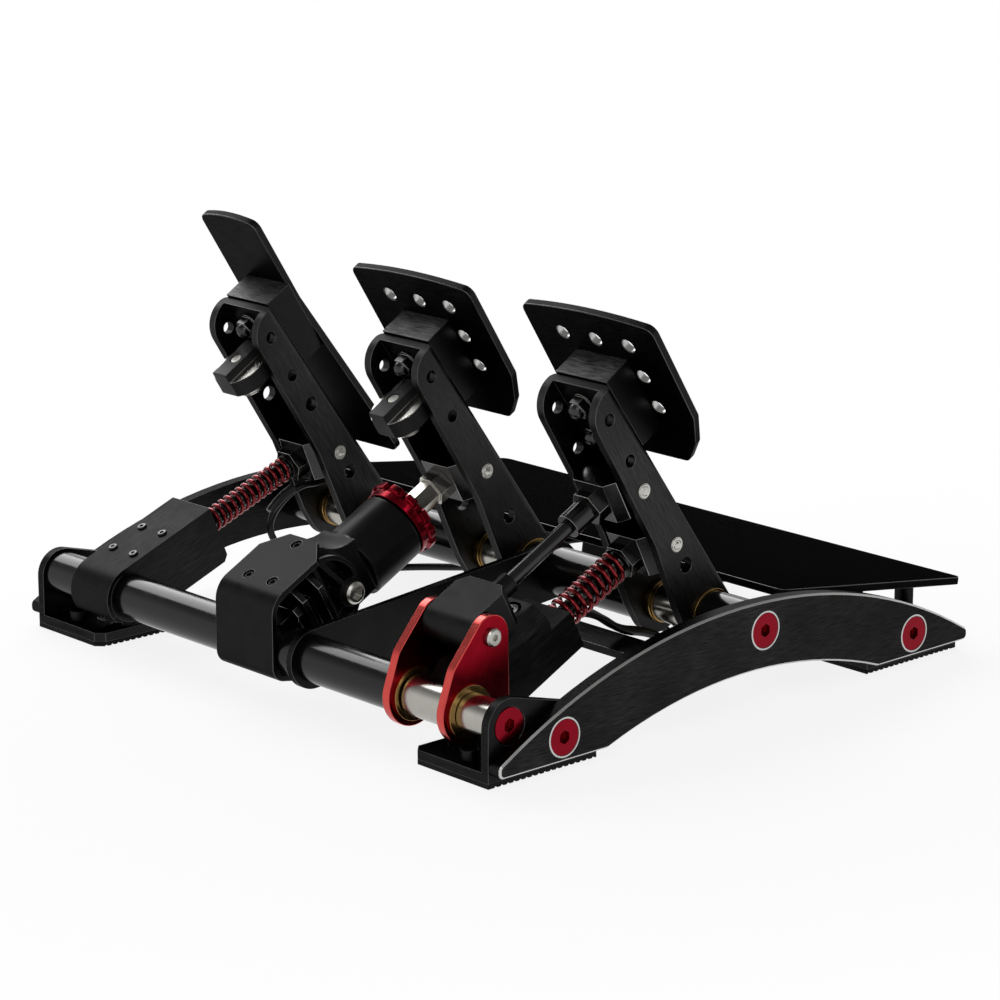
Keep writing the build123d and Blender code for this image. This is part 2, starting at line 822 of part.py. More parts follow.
def motor():
    """A ribbed motor with its shaft, and the holder that carries it on the web."""
    shaft_top = motor_weight_bottom + motor_weight_height + motor_bar_height - motor_can_groove
    can_top = motor_weight_bottom - side_gap
    can = bar_z(motor_can_radius, motor_can_bottom, can_top)
    for i in range(int((can_top - motor_can_bottom) / motor_can_rib_pitch)):
        low = motor_can_bottom + (i + 1 / 2) * motor_can_rib_pitch
        high = low + motor_can_groove
        can -= bar_z(motor_can_radius + overrun, low, high) - bar_z(
            motor_can_radius - motor_can_groove, low, high)
    can += bar_z(motor_shaft_radius, can_top, shaft_top)
    holder = block(-motor_holder_half, motor_holder_half, -far, 0, can_top - motor_holder_height, can_top)
    holder -= bar_z(motor_can_radius, -far, far)
    web = slab(outline_of((rear_line(0) + arm_wall, 0), (rear_line(far) + arm_wall, far), (-2 * far, far),
                          (-2 * far, 0)), -arm_half, arm_half)
    return [Pos(0, motor_front, 0) * can, Pos(0, motor_front, 0) * holder - web]


def motor_weight():
    """The turning weight: a flat drum with a raised bar across it."""
    low = motor_weight_bottom
    top = low + motor_weight_height + motor_bar_height
    drum = bar_z(motor_weight_radius, low, low + motor_weight_height)
    raised = block(-motor_bar_half, motor_bar_half, -far, far, low, top)
    raised &= bar_z(motor_weight_radius, low, top)
    front = block(-far, far, motor_bar_reach, far, low - overrun, top + overrun)
    bore = bar_z(motor_shaft_radius + running_gap, low - overrun, top + overrun)
    return Pos(0, motor_front, 0) * (drum + raised - front - bore)


# Rods, drawn upright: Z from the front bar to the pin, +Y on the rod's upper side

def rod_line(foot_y, foot_z, front, height, drop):
    """Slope of a rod's axis and its pin's distance along it, for an axis that passes below its foot."""
    y = axle_y + height * math.sin(lean) + front * math.cos(lean)
    z = axle_z + height * math.cos(lean) - front * math.sin(lean)
    span = math.hypot(foot_y - y, z - foot_z)
    slope = math.degrees(math.atan2(z - foot_z, foot_y - y) + math.asin(drop / span))
    return slope, math.sqrt(span ** 2 - drop ** 2)


def swivel_block(pin_place, nut_length):
    """A block that turns on its pin between the cheeks, and the nut on its front face."""
    face = pin_place - block_reach
    front = rectangle(-block_half_height, block_half_height, face, pin_place - block_back / 2)
    body = slab(hull_of(front, Pos(0, pin_place) * Circle(block_back)), -block_half, block_half)
    body = chamfer(body.edges().filter_by(Axis.Y).group_by(Axis.Z)[0], block_bevel)
    body -= bar_x(pin_radius + running_gap, -arm_half, arm_half, 0, pin_place)
    nut = Pos(0, 0, face - nut_length) * hexagon(nut_width, nut_length)
    return [body, nut - bar_z(rod_radius + seat_gap, 0, pin_place)]


def spring_rod(rod_low, face, seat_radius):
    """A rod from inside its housing to the swivel block's face, with the spring's seat under the nut."""
    seat_high = face - nut_thickness
    return bar_z(rod_radius, rod_low, face) + bar_z(seat_radius, seat_high - spring_seat_thickness, seat_high)


def helix(mean, low, high, turns, wire):
    """A spring's centre line on biarcs of a quarter turn, with straight ends one wire long."""
    pitch = (high - low - wire) / turns

    def point(i):
        angle = i * math.pi / 2
        return Vector(mean * math.cos(angle), mean * math.sin(angle), low + wire / 2 + pitch * i / 4)

    def heading(i):
        angle = i * math.pi / 2
        return Vector(-math.sin(angle), math.cos(angle), pitch / (2 * math.pi * mean)).normalized()

    last = 4 * turns
    edges = [Edge.make_line(point(0) - heading(0) * wire, point(0))]
    for i in range(last):
        a, b, s, t = point(i), point(i + 1), heading(i), heading(i + 1)
        gap = b - a
        bend = 2 * (1 - s.dot(t))
        reach = (math.sqrt(gap.dot(s + t) ** 2 + bend * gap.dot(gap)) - gap.dot(s + t)) / bend
        first, second = a + s * reach, b - t * reach
        middle = (first + second) * (1 / 2)
        edges.append(Edge.make_tangent_arc(a, s, middle))
        edges.append(Edge.make_tangent_arc(middle, second - first, b))
    edges.append(Edge.make_line(point(last), point(last) + heading(last) * wire))
    return Wire(edges)


def spring(name, outer_radius, wire, turns, low, high):
    """One unbroken coil of round wire along Z."""
    path = helix(outer_radius - wire / 2, low + spring_end_gap, high - spring_end_gap, turns, wire)
    steps = 24
    spots = [path @ (i / (steps * turns)) for i in range(steps * turns + 1)]
    pairs = [(a, b) for i, a in enumerate(spots) for b in spots[i + steps // 2:i + 2 * steps]]
    print(name, "least gap to itself", round(min((a - b).length for a, b in pairs) - wire, 2))
    return sweep(Plane(origin=path @ 0, z_dir=path % 0) * Circle(wire / 2), path=path)


def cover_place(along, side):
    """A place on the cover's flat top with +Z outwards."""
    return Pos(side, throttle_housing_top + cover_thickness, along) * Rot(-90, 0, 0)


def throttle_screw_places():
    """Four places on the cover's top and one round its front, with +Z outwards."""
    places = [cover_place(along, side) for side in (-housing_screw_side, housing_screw_side)
              for along in housing_screw_places]
    return places + [Rot(clamp_screw_angle, 0, 0) * Pos(0, 0, throttle_housing_top + cover_thickness)]


def throttle_housing():
    """The block round the throttle's rod and its bent cover, on the front bar."""
    turn = math.radians(cover_wrap)
    wedge = outline_of((0, 0), (far, 0), (far, -far), (far * math.cos(turn), -far * math.sin(turn)))
    outer = throttle_housing_top + cover_thickness
    wrap = (Circle(outer) - Circle(throttle_housing_top)) & wedge
    low = rectangle(-throttle_housing_bottom, throttle_housing_top, 0, throttle_housing_length)
    body = slab(Circle(throttle_housing_top) + low, -housing_half, housing_half)
    body = chamfer(body.edges().filter_by(Axis.X).group_by(Axis.Z)[-1].sort_by(Axis.Y)[0], housing_corner)
    body -= bar_z(rod_radius + rod_slack, throttle_bore_floor, far)
    pocket_low = throttle_housing_length - spring_pocket_depth
    body -= bar_z(throttle_spring_radius + spring_side_gap, pocket_low, far)
    cover = slab(wrap + rectangle(throttle_housing_top, outer, 0, throttle_housing_length),
                 -housing_half, housing_half)
    bore = bar_x(shaft_radius + running_gap, -far, far)
    holes = [place * bar_z(housing_screw_stem + seat_gap, -housing_screw_length, overrun)
             for place in throttle_screw_places()]
    return [body - bore - holes, cover - holes]


def throttle_screws():
    """The button-headed screws of the throttle's cover."""
    screw = socket_screw(housing_screw_radius, housing_screw_height, housing_screw_stem, housing_screw_length,
                         housing_screw_socket)
    return [place * screw for place in throttle_screw_places()]


def cap_screw_seat():
    """The cap screw's seat in the clutch housing, with +Z outwards."""
    return Pos(0, clutch_block_top - cap_screw_height, cap_screw_place) * Rot(-90, 0, 0)


def clutch_housing():
    """The spring box under a bevelled block, with a narrow hub on the front bar."""
    centre = -clutch_axis_drop
    upper = block(-housing_half, housing_half, centre, clutch_block_top, clutch_hub_radius, clutch_block_end)
    upper = chamfer(upper.edges().filter_by(Axis.Z).group_by(Axis.Y)[-1], clutch_block_bevel)
    box = block(-housing_half, housing_half, centre - clutch_box_half_height, centre + clutch_box_half_height,
                clutch_hub_radius, clutch_box_end)
    hub = bar_x(clutch_hub_radius, -clutch_hub_half, clutch_hub_half)
    web = block(-clutch_hub_half, clutch_hub_half, centre, clutch_block_top, 0, clutch_block_end)
    web = chamfer(web.edges().filter_by(Axis.Z).group_by(Axis.Y)[-1], clutch_block_bevel)
    body = hub + web + box + upper
    body -= bar_z(rod_radius + rod_slack, clutch_bore_floor, far, 0, centre)
    pocket_low = clutch_box_end - clutch_pocket_depth
    body -= bar_z(clutch_spring_radius + spring_side_gap, pocket_low, far, 0, centre)
    body -= bar_x(shaft_radius + running_gap, -far, far)
    body -= cap_screw_seat() * bar_z(cap_screw_radius + cap_screw_gap, 0, far)
    return body - cap_screw_seat() * bar_z(cap_screw_stem + seat_gap, -cap_screw_length - seat_gap, 0)


def cap_screw():
    """The cap screw in its round seat."""
    return cap_screw_seat() * socket_screw(
        cap_screw_radius, cap_screw_height, cap_screw_stem, cap_screw_length, cap_screw_socket)


# Cams on the front bar, drawn level about it

def cam_lows():
    """X of each cam's left face."""
    return (-cam_spread / 2, cam_spread / 2 - cam_thickness)


def cams():
    """Two red cams, one on each side of the push rod's end."""
    outline = hull_of(
        Circle(cam_hub_radius), Pos(cam_pin_y, cam_pin_z) * Circle(cam_top_radius),
        Pos(cam_belly_y, cam_belly_z) * Circle(cam_belly_radius),
        Pos(cam_heel_y, cam_heel_z) * Circle(cam_heel_radius))
    outline -= Circle(shaft_radius + cam_bushing_wall + seat_gap)
    outline -= Pos(cam_pin_y, cam_pin_z) * Circle(cam_stub_radius + seat_gap)
    return [slab(outline, low, low + cam_thickness) for low in cam_lows()]


def cam_bushings():
    """A bronze bushing in each cam, its flange on the left face."""
    solids = []
    for low in cam_lows():
        bush = bar_x(cam_bushing_radius, low - bushing_flange_thickness, low)
        bush += bar_x(shaft_radius + cam_bushing_wall, low, low + cam_thickness)
        solids.append(bush - bar_x(shaft_radius + running_gap, -far, far))
    return solids


def cam_screws():
    """A button screw through each cam whose stub enters the push rod's end."""
    screw = socket_screw(cam_screw_radius, cam_screw_height, cam_stub_radius, cam_thickness + cam_stub_reach,
                         cam_screw_socket)
    return both_sides(facing_left(-cam_spread / 2, cam_pin_y, cam_pin_z) * screw)


def rod_end():
    """The block between the cams, round at its pin, with a collar for the push rod."""
    outline = Circle(rod_eye_radius) + rectangle(-rod_eye_radius, rod_eye_radius, 0, rod_eye_length)
    body = slab(outline, -rod_eye_half, rod_eye_half)
    body = chamfer(body.edges().filter_by(Axis.Y).group_by(Axis.Z)[-1], rod_eye_bevel)
    collar = bar_z(push_rod_foot_radius, rod_eye_length, rod_eye_length + push_rod_foot_length)
    collar -= bar_z(push_rod_radius + seat_gap, 0, far)
    return [body - bar_x(rod_eye_bore, -far, far), collar]


def push_rod_collar(nut_low):
    """The long collar under the upper block's nut."""
    collar = bar_z(push_rod_collar_radius, nut_low - push_rod_collar_length, nut_low)
    return collar - bar_z(push_rod_radius + seat_gap, 0, far)


# Brake cylinder, drawn along its rod

def clamp_height(slope):
    """Height of the clamp's sloping top over the rod's axis."""
    turn = math.radians(slope)
    return clamp_rear_z * math.cos(turn) + clamp_rear_y * math.sin(turn)


def clamp_screw_places(slope):
    """Places on the clamp's top with +Z outwards: two near the bend and one behind."""
    spots = [(-clamp_screw_side, clamp_screw_front_place), (clamp_screw_side, clamp_screw_front_place),
             (0, clamp_screw_rear_place)]
    return [Pos(x, clamp_height(slope), along) * Rot(-90, 0, 0) for x, along in spots]


def clamp_screw_holes(slope):
    """The stems' holes under the clamp."""
    hole = bar_z(clamp_screw_stem + seat_gap, -2 * clamp_screw_length, 0)
    return [place * hole for place in clamp_screw_places(slope)]


def brake_cylinder(slope):
    """The cylinder with its waist, its ribbed foot and the threaded spigot for the ring."""
    rim = Pos(cylinder_foot_rise, cylinder_foot_centre) * Circle(cylinder_foot_radius)
    rim = rim & rectangle(-far, far, cylinder_foot_front, far)
    waist_end = cylinder_start + overrun
    waist = rectangle(
        -cylinder_waist_half, clamp_height(slope) - clamp_thickness, cylinder_foot_front, waist_end)
    waist -= Pos(cylinder_radius + cylinder_waist_radius, waist_end) * Circle(cylinder_waist_radius)
    body = slab(rim, -cylinder_foot_half, cylinder_foot_half)
    body += slab(waist, -cylinder_waist_half, cylinder_waist_half)
    body += bar_z(cylinder_radius, cylinder_start, cylinder_end)
    boss = Pos(0, clevis_bolt_place) * Circle(clevis_boss_radius)
    rib = Pos(0, clevis_bolt_place) * Rot(0, 0, -cylinder_rib_turn) * rectangle(
        0, far, -cylinder_rib / 2, cylinder_rib / 2)
    pocket = offset(rim, -cylinder_rib) - boss - rib
    depth = cylinder_foot_half - cylinder_pocket_depth
    body -= slab(pocket, -far, -depth)
    body -= slab(pocket, depth, far)
    body += bar_z(thread_radius, cylinder_end, thread_end)
    body -= bar_z(cylinder_bore, brake_bore_floor, far)
    body -= bar_x(clevis_bolt_stem + seat_gap, -far, far, 0, clevis_bolt_place)
    return body - clamp_screw_holes(slope)


def clevis_bolts():
    """The large socket bolts through the cylinder's foot, one from each side."""
    bolt = socket_screw(clevis_bolt_radius, clevis_bolt_height, clevis_bolt_stem,
                        cylinder_foot_half - running_gap, clevis_bolt_socket)
    return both_sides(facing_left(-cylinder_foot_half, 0, clevis_bolt_place) * bolt)


def adjuster_ring():
    """The red ring on the cylinder's spigot: a plain band and a flange notched all round."""
    flange = bar_z(ring_radius, ring_step, ring_end)
    flange = chamfer(flange.edges().filter_by(GeomType.CIRCLE), ring_chamfer)
    ring = bar_z(ring_band_radius, ring_start, ring_step) + flange
    ring -= bar_z(thread_radius + running_gap, -far, far)
    notch = bar_z(ring_notch_radius, ring_step, ring_end + overrun, ring_radius)
    return ring - [Rot(0, 0, i * 360 / ring_notches) * notch for i in range(ring_notches)]


def brake_rod(face):
    """The polished flatted shaft with a larger six-sided collar next to its block."""
    flats = Pos(0, 0, brake_rod_end) * hexagon(brake_rod_width, face - brake_rod_end)
    return flats + Pos(0, 0, face - brake_collar_length) * hexagon(brake_collar_width, brake_collar_length)


# Brake clamp and load cell

def brake_clamp(axis, slope):
    """The bent plate over the load cell, with cut rear corners and sunk screw holes."""
    turn = math.radians(slope)
    brow_z = clamp_rear_z - (clamp_front_y - clamp_rear_y) * math.tan(turn)
    outer = FilletPolyline(
        (clamp_rear_y, clamp_rear_z), (clamp_front_y, brow_z), (clamp_front_y, clamp_toe_z),
        (clamp_tail_y, clamp_tail_z), radius=[clamp_brow_radius, clamp_toe_radius])
    sheet = make_face(offset(outer, clamp_thickness, side=Side.RIGHT).edges())
    plate = Pos(0, front_bar_y, front_bar_z) * slab(sheet, -clamp_half, clamp_half)
    rear = clamp_rear_z * math.sin(turn) - clamp_rear_y * math.cos(turn)
    corner = outline_of((clamp_half, rear - clamp_corner), (clamp_half, rear + overrun),
                        (clamp_half - clamp_corner - overrun, rear + overrun))
    wedge = extrude(Plane.XZ * corner, amount=far, both=True)
    plate -= placed(axis, both_sides(wedge))
    holes = [place * bar_z(clamp_screw_radius + seat_gap, -far / 4, far / 4)
             for place in clamp_screw_places(slope)]
    return plate - placed(axis, holes)


def clamp_screws(slope):
    """The socket screws sunk in the clamp's top."""
    screw = Pos(0, 0, -clamp_screw_sink - clamp_screw_height) * socket_screw(
        clamp_screw_radius, clamp_screw_height, clamp_screw_stem, clamp_screw_length, clamp_screw_socket)
    return [place * screw for place in clamp_screw_places(slope)]


def load_cell(slope):
    """Two bevelled plates across the rod, their core and cap, and a hub on the front bar."""
    outline = rectangle(-cell_half, cell_half, -cell_bottom, cell_top)
    outline = chamfer(outline.vertices().group_by(Axis.Y)[-1], cell_corner)
    rear = cylinder_foot_front - cell_plate_thickness
    front_back = cell_front_plate + cell_plate_thickness
    body = Pos(0, 0, cell_front_plate) * extrude(outline, amount=cell_plate_thickness)
    body += Pos(0, 0, rear) * extrude(outline, amount=cell_plate_thickness)
    body += block(-cell_core_half, cell_core_half, -cell_core_half, cell_core_half, 0, rear)
    body += block(-cell_cap_half, cell_cap_half, cell_top - cell_plate_thickness,
                  clamp_height(slope) - clamp_thickness, cell_cap_start, front_back)
    body += bar_x(cell_hub_radius, -clamp_half, clamp_half)
    body -= bar_x(shaft_radius + running_gap, -far, far)
    bolts = [Pos(side, cell_bolt_rise, cell_front_plate - cell_bolt_height) * hexagon(
        cell_bolt_width, cell_bolt_height) for side in (-cell_bolt_side, cell_bolt_side)]
    return [body - clamp_screw_holes(slope)] + bolts


def write_frame():
    """Write the pieces that stand still."""
    write("side_plates", *both_sides(side_plate()))
    write("brackets", *brackets())
    write("rubber_feet", *four_corners(foot()))
    write("floor_bolts", *four_corners(floor_bolt()))
    write("axle", shaft(inner_x, axle_y, axle_z))
    write("front_bar", shaft(bracket_inner_x, front_bar_y, front_bar_z))
    write("sleeves", *axle_sleeves(), *bar_sleeves())
    write("red_screws", *red_screws())
    write("heel_plate", heel_plate())
    write("heel_supports", *heel_supports())
    write("tie_plate", tie_plate())
    write("cross_strut", cross_strut())
    write("control_box", control_box())
    write("throttle_cable", cable("throttle_cable", pedal_pitch, throttle_route, box_width / 8))
    write("clutch_cables", cable("clutch_cable", -pedal_pitch, clutch_route, box_x - box_width / 4),
          cable("clutch_cable", -pedal_pitch, clutch_second_route, box_x - box_width / 3))


def write_pedal(name, x, pins, big_holes, outline, low_nut):
    """Write the pieces that every pedal arm has."""
    place = in_pedal(x)
    write(name + "_arm", place * arm(pins, big_holes))
    write(name + "_bushings", *placed(place, bushings()))
    write(name + "_pivot_pins", *placed(place, pivot_pins(pins)))
    write(name + "_pad", place * pad(outline))
    write(name + "_pad_block", place * pad_block())
    write(name + "_pad_fasteners", *placed(place, pad_fasteners(low_nut)))


def write_motor(name, x):
    """Write a pedal's vibration motor."""
    write(name + "_motor", *placed(in_pedal(x), motor()))
    write(name + "_motor_weight", in_pedal(x) * motor_weight())


def write_throttle():
    """Write the throttle."""
    pin = (low_pin_front, low_pin_height)
    write_pedal("throttle", pedal_pitch, [pin], [arm_low_hole, arm_high_hole], throttle_pad_outline(),
                hexagon(acorn_width, thin_nut_height))
    write_motor("throttle", pedal_pitch)
    slope, pin_place = rod_line(front_bar_y, front_bar_z, *pin, 0)
    axis = Pos(pedal_pitch, front_bar_y, front_bar_z) * Rot(90 - slope, 0, 0)
    face = pin_place - block_reach
    write("throttle_swivel_block", *placed(axis, swivel_block(pin_place, nut_thickness)))
    write("throttle_rod", axis * spring_rod(throttle_rod_end, face, throttle_spring_radius))
    low = throttle_housing_length - spring_pocket_depth
    high = face - nut_thickness - spring_seat_thickness
    write("throttle_spring", axis * spring("throttle_spring", throttle_spring_radius, throttle_spring_wire,
                                           throttle_spring_turns, low, high))
    write("throttle_housing", *placed(axis, throttle_housing()))
    write("throttle_housing_screws", *placed(axis, throttle_screws()))


def write_brake():
    """Write the brake."""
    pin = (brake_pin_front, brake_pin_height)
    write_pedal("brake", 0, [pin], [arm_low_hole], pad_outline(), hexagon(acorn_width, thin_nut_height))
    write_motor("brake", 0)
    slope, pin_place = rod_line(front_bar_y, front_bar_z, *pin, 0)
    axis = Pos(0, front_bar_y, front_bar_z) * Rot(90 - slope, 0, 0)
    write("brake_swivel_block", axis * swivel_block(pin_place, nut_thickness)[0])
    write("brake_rod", axis * brake_rod(pin_place - block_reach))
    write("brake_adjuster_ring", axis * adjuster_ring())
    write("brake_cylinder", axis * brake_cylinder(slope))
    write("brake_clamp", brake_clamp(axis, slope))
    write("brake_load_cell", *placed(axis, load_cell(slope)))
    write("brake_screws", *placed(axis, clamp_screws(slope) + clevis_bolts()))


def write_clutch():
    """Write the clutch."""
    low_pin = (low_pin_front, low_pin_height)
    rod_pin = (rod_pin_front, rod_pin_height)
    write_pedal("clutch", -pedal_pitch, [low_pin, rod_pin], [arm_low_hole], pad_outline(), acorn_nut())
    slope, pin_place = rod_line(front_bar_y, front_bar_z, *low_pin, clutch_axis_drop)
    axis = Pos(-pedal_pitch, front_bar_y, front_bar_z) * Rot(90 - slope, 0, 0)
    spring_axis = axis * Pos(0, -clutch_axis_drop, 0)
    face = pin_place - block_reach
    low = clutch_box_end - clutch_pocket_depth
    high = face - nut_thickness - spring_seat_thickness
    rod = spring_rod(clutch_rod_end, face, clutch_spring_radius)
    rod += bar_z(clutch_guide_radius, high - clutch_guide_length, high)
    write("clutch_lower_block", *placed(spring_axis, swivel_block(pin_place, nut_thickness)))
    write("clutch_spring_rod", spring_axis * rod)
    write("clutch_spring", spring_axis * spring("clutch_spring", clutch_spring_radius, clutch_spring_wire,
                                                clutch_spring_turns, low, high))
    write("clutch_housing", axis * clutch_housing())
    write("clutch_housing_screw", axis * cap_screw())
    on_bar = Pos(-pedal_pitch, front_bar_y, front_bar_z)
    write("clutch_cams", *placed(on_bar, cams()))
    write("clutch_cam_bushings", *placed(on_bar, cam_bushings()))
    write("clutch_cam_screws", *placed(on_bar, cam_screws()))
    foot_y, foot_z = front_bar_y + cam_pin_y, front_bar_z + cam_pin_z
    slope, pin_place = rod_line(foot_y, foot_z, *rod_pin, 0)
    axis = Pos(-pedal_pitch, foot_y, foot_z) * Rot(90 - slope, 0, 0)
    face = pin_place - block_reach
    write("clutch_upper_block", *placed(axis, swivel_block(pin_place, nut_thickness)),
          axis * push_rod_collar(face - nut_thickness))
    write("clutch_push_rod", axis * bar_z(push_rod_radius, rod_eye_length, face))
    write("clutch_rod_end", *placed(axis, rod_end()))


os.makedirs("parts", exist_ok=True)
write_frame()
write_throttle()
write_brake()
write_clutch()
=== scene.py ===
# %% [markdown]
# # A set of three racing pedals
# This lesson dresses a machined pedal set: a throttle, a brake and a clutch on one frame.
# The shapes and the places of all the pieces come from the engineering model, in metres.
# Blender gives each piece what a drawing leaves out: broken edges, wound wire, threads and finishes.

# %% Load the model
import json
import math
import bmesh
import bpy
from mathutils import Matrix, Vector
from mathutils.bvhtree import BVHTree


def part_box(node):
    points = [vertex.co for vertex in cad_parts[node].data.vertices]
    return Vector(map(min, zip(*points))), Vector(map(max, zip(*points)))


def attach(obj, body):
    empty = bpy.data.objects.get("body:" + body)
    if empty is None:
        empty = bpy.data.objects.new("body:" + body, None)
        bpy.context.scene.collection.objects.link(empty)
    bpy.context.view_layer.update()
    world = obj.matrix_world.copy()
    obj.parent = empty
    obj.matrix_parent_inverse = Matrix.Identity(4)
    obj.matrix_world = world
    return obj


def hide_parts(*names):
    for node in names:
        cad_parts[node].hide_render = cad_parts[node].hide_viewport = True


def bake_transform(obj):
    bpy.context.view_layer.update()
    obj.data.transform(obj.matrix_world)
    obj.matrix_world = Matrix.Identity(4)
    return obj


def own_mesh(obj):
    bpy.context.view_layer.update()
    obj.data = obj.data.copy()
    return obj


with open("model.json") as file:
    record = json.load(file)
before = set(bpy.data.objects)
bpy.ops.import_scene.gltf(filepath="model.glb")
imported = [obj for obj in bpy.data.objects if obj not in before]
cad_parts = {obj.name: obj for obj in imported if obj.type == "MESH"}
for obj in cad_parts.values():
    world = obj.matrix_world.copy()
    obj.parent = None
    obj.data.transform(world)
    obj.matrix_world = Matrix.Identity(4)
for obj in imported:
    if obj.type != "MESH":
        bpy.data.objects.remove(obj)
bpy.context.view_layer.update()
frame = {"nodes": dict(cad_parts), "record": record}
print("pieces in the model:", len(frame["nodes"]))

# %% [markdown]
# The camera stands in front of the clutch side and looks down at the front bar a little.
# Its place and its lens were worked out from a photograph of the real set.
# It is made first, because every later choice is judged through it.

# %% Camera
def in_scene(name, data):
    """A new object with its data, linked to the scene."""
    made = bpy.data.objects.new(name, data)
    bpy.context.scene.collection.objects.link(made)
    return made


camera = in_scene("camera", bpy.data.cameras.new("camera"))
right = Vector((-0.676157, -0.736758, -0.000232))
upwards = Vector((0.186023, -0.171027, 0.967546))
towards = Vector((0.712887, -0.654169, -0.252695))
turned = Matrix((right, upwards, -towards)).transposed().to_4x4()
camera.matrix_world = Matrix.Translation((-1.318862, 1.204891, 0.542998)) @ turned
picture_pixels = 1000
focal_pixels = 3448.2
film_width = 36
camera.data.sensor_width = film_width
camera.data.lens = focal_pixels / picture_pixels * film_width
camera.data.clip_start = 0.05
bpy.context.scene.camera = camera
bpy.context.scene.view_settings.view_transform = "Standard"

# %% [markdown]
# Every finish is a small tree of shader nodes. Three helpers keep the trees short to read.
# One turns a web colour into the linear numbers that a shader wants.
# One adds a node, sets it up and links its inputs in one call, and one starts a material with its shader.

# %% Helpers for node trees
def linear(code):
    """A web colour such as #1b1c1f as linear red, green, blue and alpha."""
    shares = [int(code[i:i + 2], 16) / 255 for i in (1, 3, 5)]
    return tuple(s / 12.92 if s <= 0.04045 else ((s + 0.055) / 1.055) ** 2.4 for s in shares) + (1,)


def add(tree, kind, inputs=None, **settings):
    """A new node with its settings, and its inputs set to values or linked to sockets."""
    made = tree.nodes.new(kind)
    for name, value in settings.items():
        setattr(made, name, value)
    for name, value in (inputs or {}).items():
        if isinstance(value, bpy.types.NodeSocket):
            tree.links.new(value, made.inputs[name])
        else:
            made.inputs[name].default_value = value
    return made


def surface(name, code, metallic, roughness, **sockets):
    """A new material with its shader, ready for a pattern."""
    material = bpy.data.materials.new(name)
    material.use_nodes = True
    tree = material.node_tree
    tree.nodes.clear()
    values = {"Base Color": linear(code), "Metallic": metallic, "Roughness": roughness}
    values.update({key.replace("_", " "): value for key, value in sockets.items()})
    shader = add(tree, "ShaderNodeBsdfPrincipled", values)
    add(tree, "ShaderNodeOutputMaterial", {"Surface": shader.outputs["BSDF"]})
    return material, tree, shader

# %% [markdown]
# Brushed metal is a flat sheet with thousands of fine scratches that all run one way.
# A noise that is stretched along the brushing gives the scratches their length.
# It drives the roughness, the colour a little, and a shallow bump, so light smears across the grain.
# Such scratches are usually 0.1 mm apart or less. They are drawn 0.35 or 0.5 mm apart, so that they show.
# Black dye soaks up the light that bare metal would throw back at a low angle, so the tint of the
# reflection at the edge is dark too. Without it a black plate seen along its face would look white.

# %% Brushed black anodised aluminium
def brushed(name, code, worn, roughness, turn, edge, spacing=0.35, length=28, depth=0.05):
    """A brushed metal whose grain runs along X before it is turned about X, Y and Z in degrees."""
    material, tree, shader = surface(name, code, 1, roughness[0], Specular_Tint=linear(edge))
    place = add(tree, "ShaderNodeTexCoord")
    across = 1000 / spacing
    turned_back = add(tree, "ShaderNodeVectorRotate", {
        "Vector": place.outputs["Object"], "Rotation": [math.radians(a) for a in turn]},
        rotation_type="EULER_XYZ")
    stretched = add(tree, "ShaderNodeMapping", {
        "Vector": turned_back.outputs["Vector"], "Scale": (across / length, across, across)})
    lines = add(tree, "ShaderNodeTexNoise", {
        "Vector": stretched.outputs["Vector"], "Scale": 1, "Detail": 3, "Roughness": 0.6})
    patch = add(tree, "ShaderNodeTexNoise", {
        "Vector": place.outputs["Object"], "Scale": 30, "Detail": 2})
    rough = add(tree, "ShaderNodeMapRange", {
        "Value": lines.outputs["Fac"], "From Min": 0.3, "From Max": 0.7,
        "To Min": roughness[0], "To Max": roughness[1]})
    tint = add(tree, "ShaderNodeMapRange", {
        "Value": lines.outputs["Fac"], "From Min": 0.35, "From Max": 0.75, "To Min": 0, "To Max": 1})
    soft = add(tree, "ShaderNodeMath", {0: tint.outputs["Result"], 1: patch.outputs["Fac"]},
               operation="MULTIPLY")
    colour = add(tree, "ShaderNodeMix", {
        "Factor": soft.outputs["Value"], "A": linear(code), "B": linear(worn)}, data_type="RGBA")
    bump = add(tree, "ShaderNodeBump", {
        "Height": lines.outputs["Fac"], "Strength": depth, "Distance": 0.0002})
    tree.links.new(rough.outputs["Result"], shader.inputs["Roughness"])
    tree.links.new(colour.outputs["Result"], shader.inputs["Base Color"])
    tree.links.new(bump.outputs["Normal"], shader.inputs["Normal"])
    return material


lean = 32.2
black_along = brushed("black_anodised_aluminium_brushed_along", "#181818", "#464646", (0.28, 0.5),
                      (0, 0, 90), "#b8b8b8", depth=0.1)
black_across = brushed("black_anodised_aluminium_brushed_across", "#1c1c1c", "#3a3a3a", (0.26, 0.46),
                       (0, 0, 0), "#b8b8b8", depth=0.08)
black_heel = brushed("black_anodised_heel_plate", "#141414", "#262626", (0.45, 0.6),
                     (0, 0, 0), "#303030", depth=0.03)
black_arm = brushed("black_anodised_aluminium_brushed_up_the_arm", "#282828", "#505050", (0.28, 0.48),
                    (lean - 90, 0, 90), "#b8b8b8", depth=0.09)
black_down_rod = brushed("black_anodised_aluminium_brushed_down_the_rod", "#1c1c1c", "#444444", (0.3, 0.5),
                         (24, 0, 90), "#b8b8b8", depth=0.09)
# The pad blocks' tops are painted lighter than their sides, with pale streaks: a painted highlight of the
# light from above.
block_top_highlight_paint = brushed("black_anodised_block_top_brushed_coarse_painted_highlight", "#3a3a3a", "#b0b0b0", (0.4, 0.6),
                    (0, 0, 0), "#b8b8b8", spacing=0.5, length=14, depth=0.25)
brushed_finishes = [black_along, black_across, black_heel, black_arm, black_down_rod, block_top_highlight_paint]
print("brushed finishes:", len(brushed_finishes))

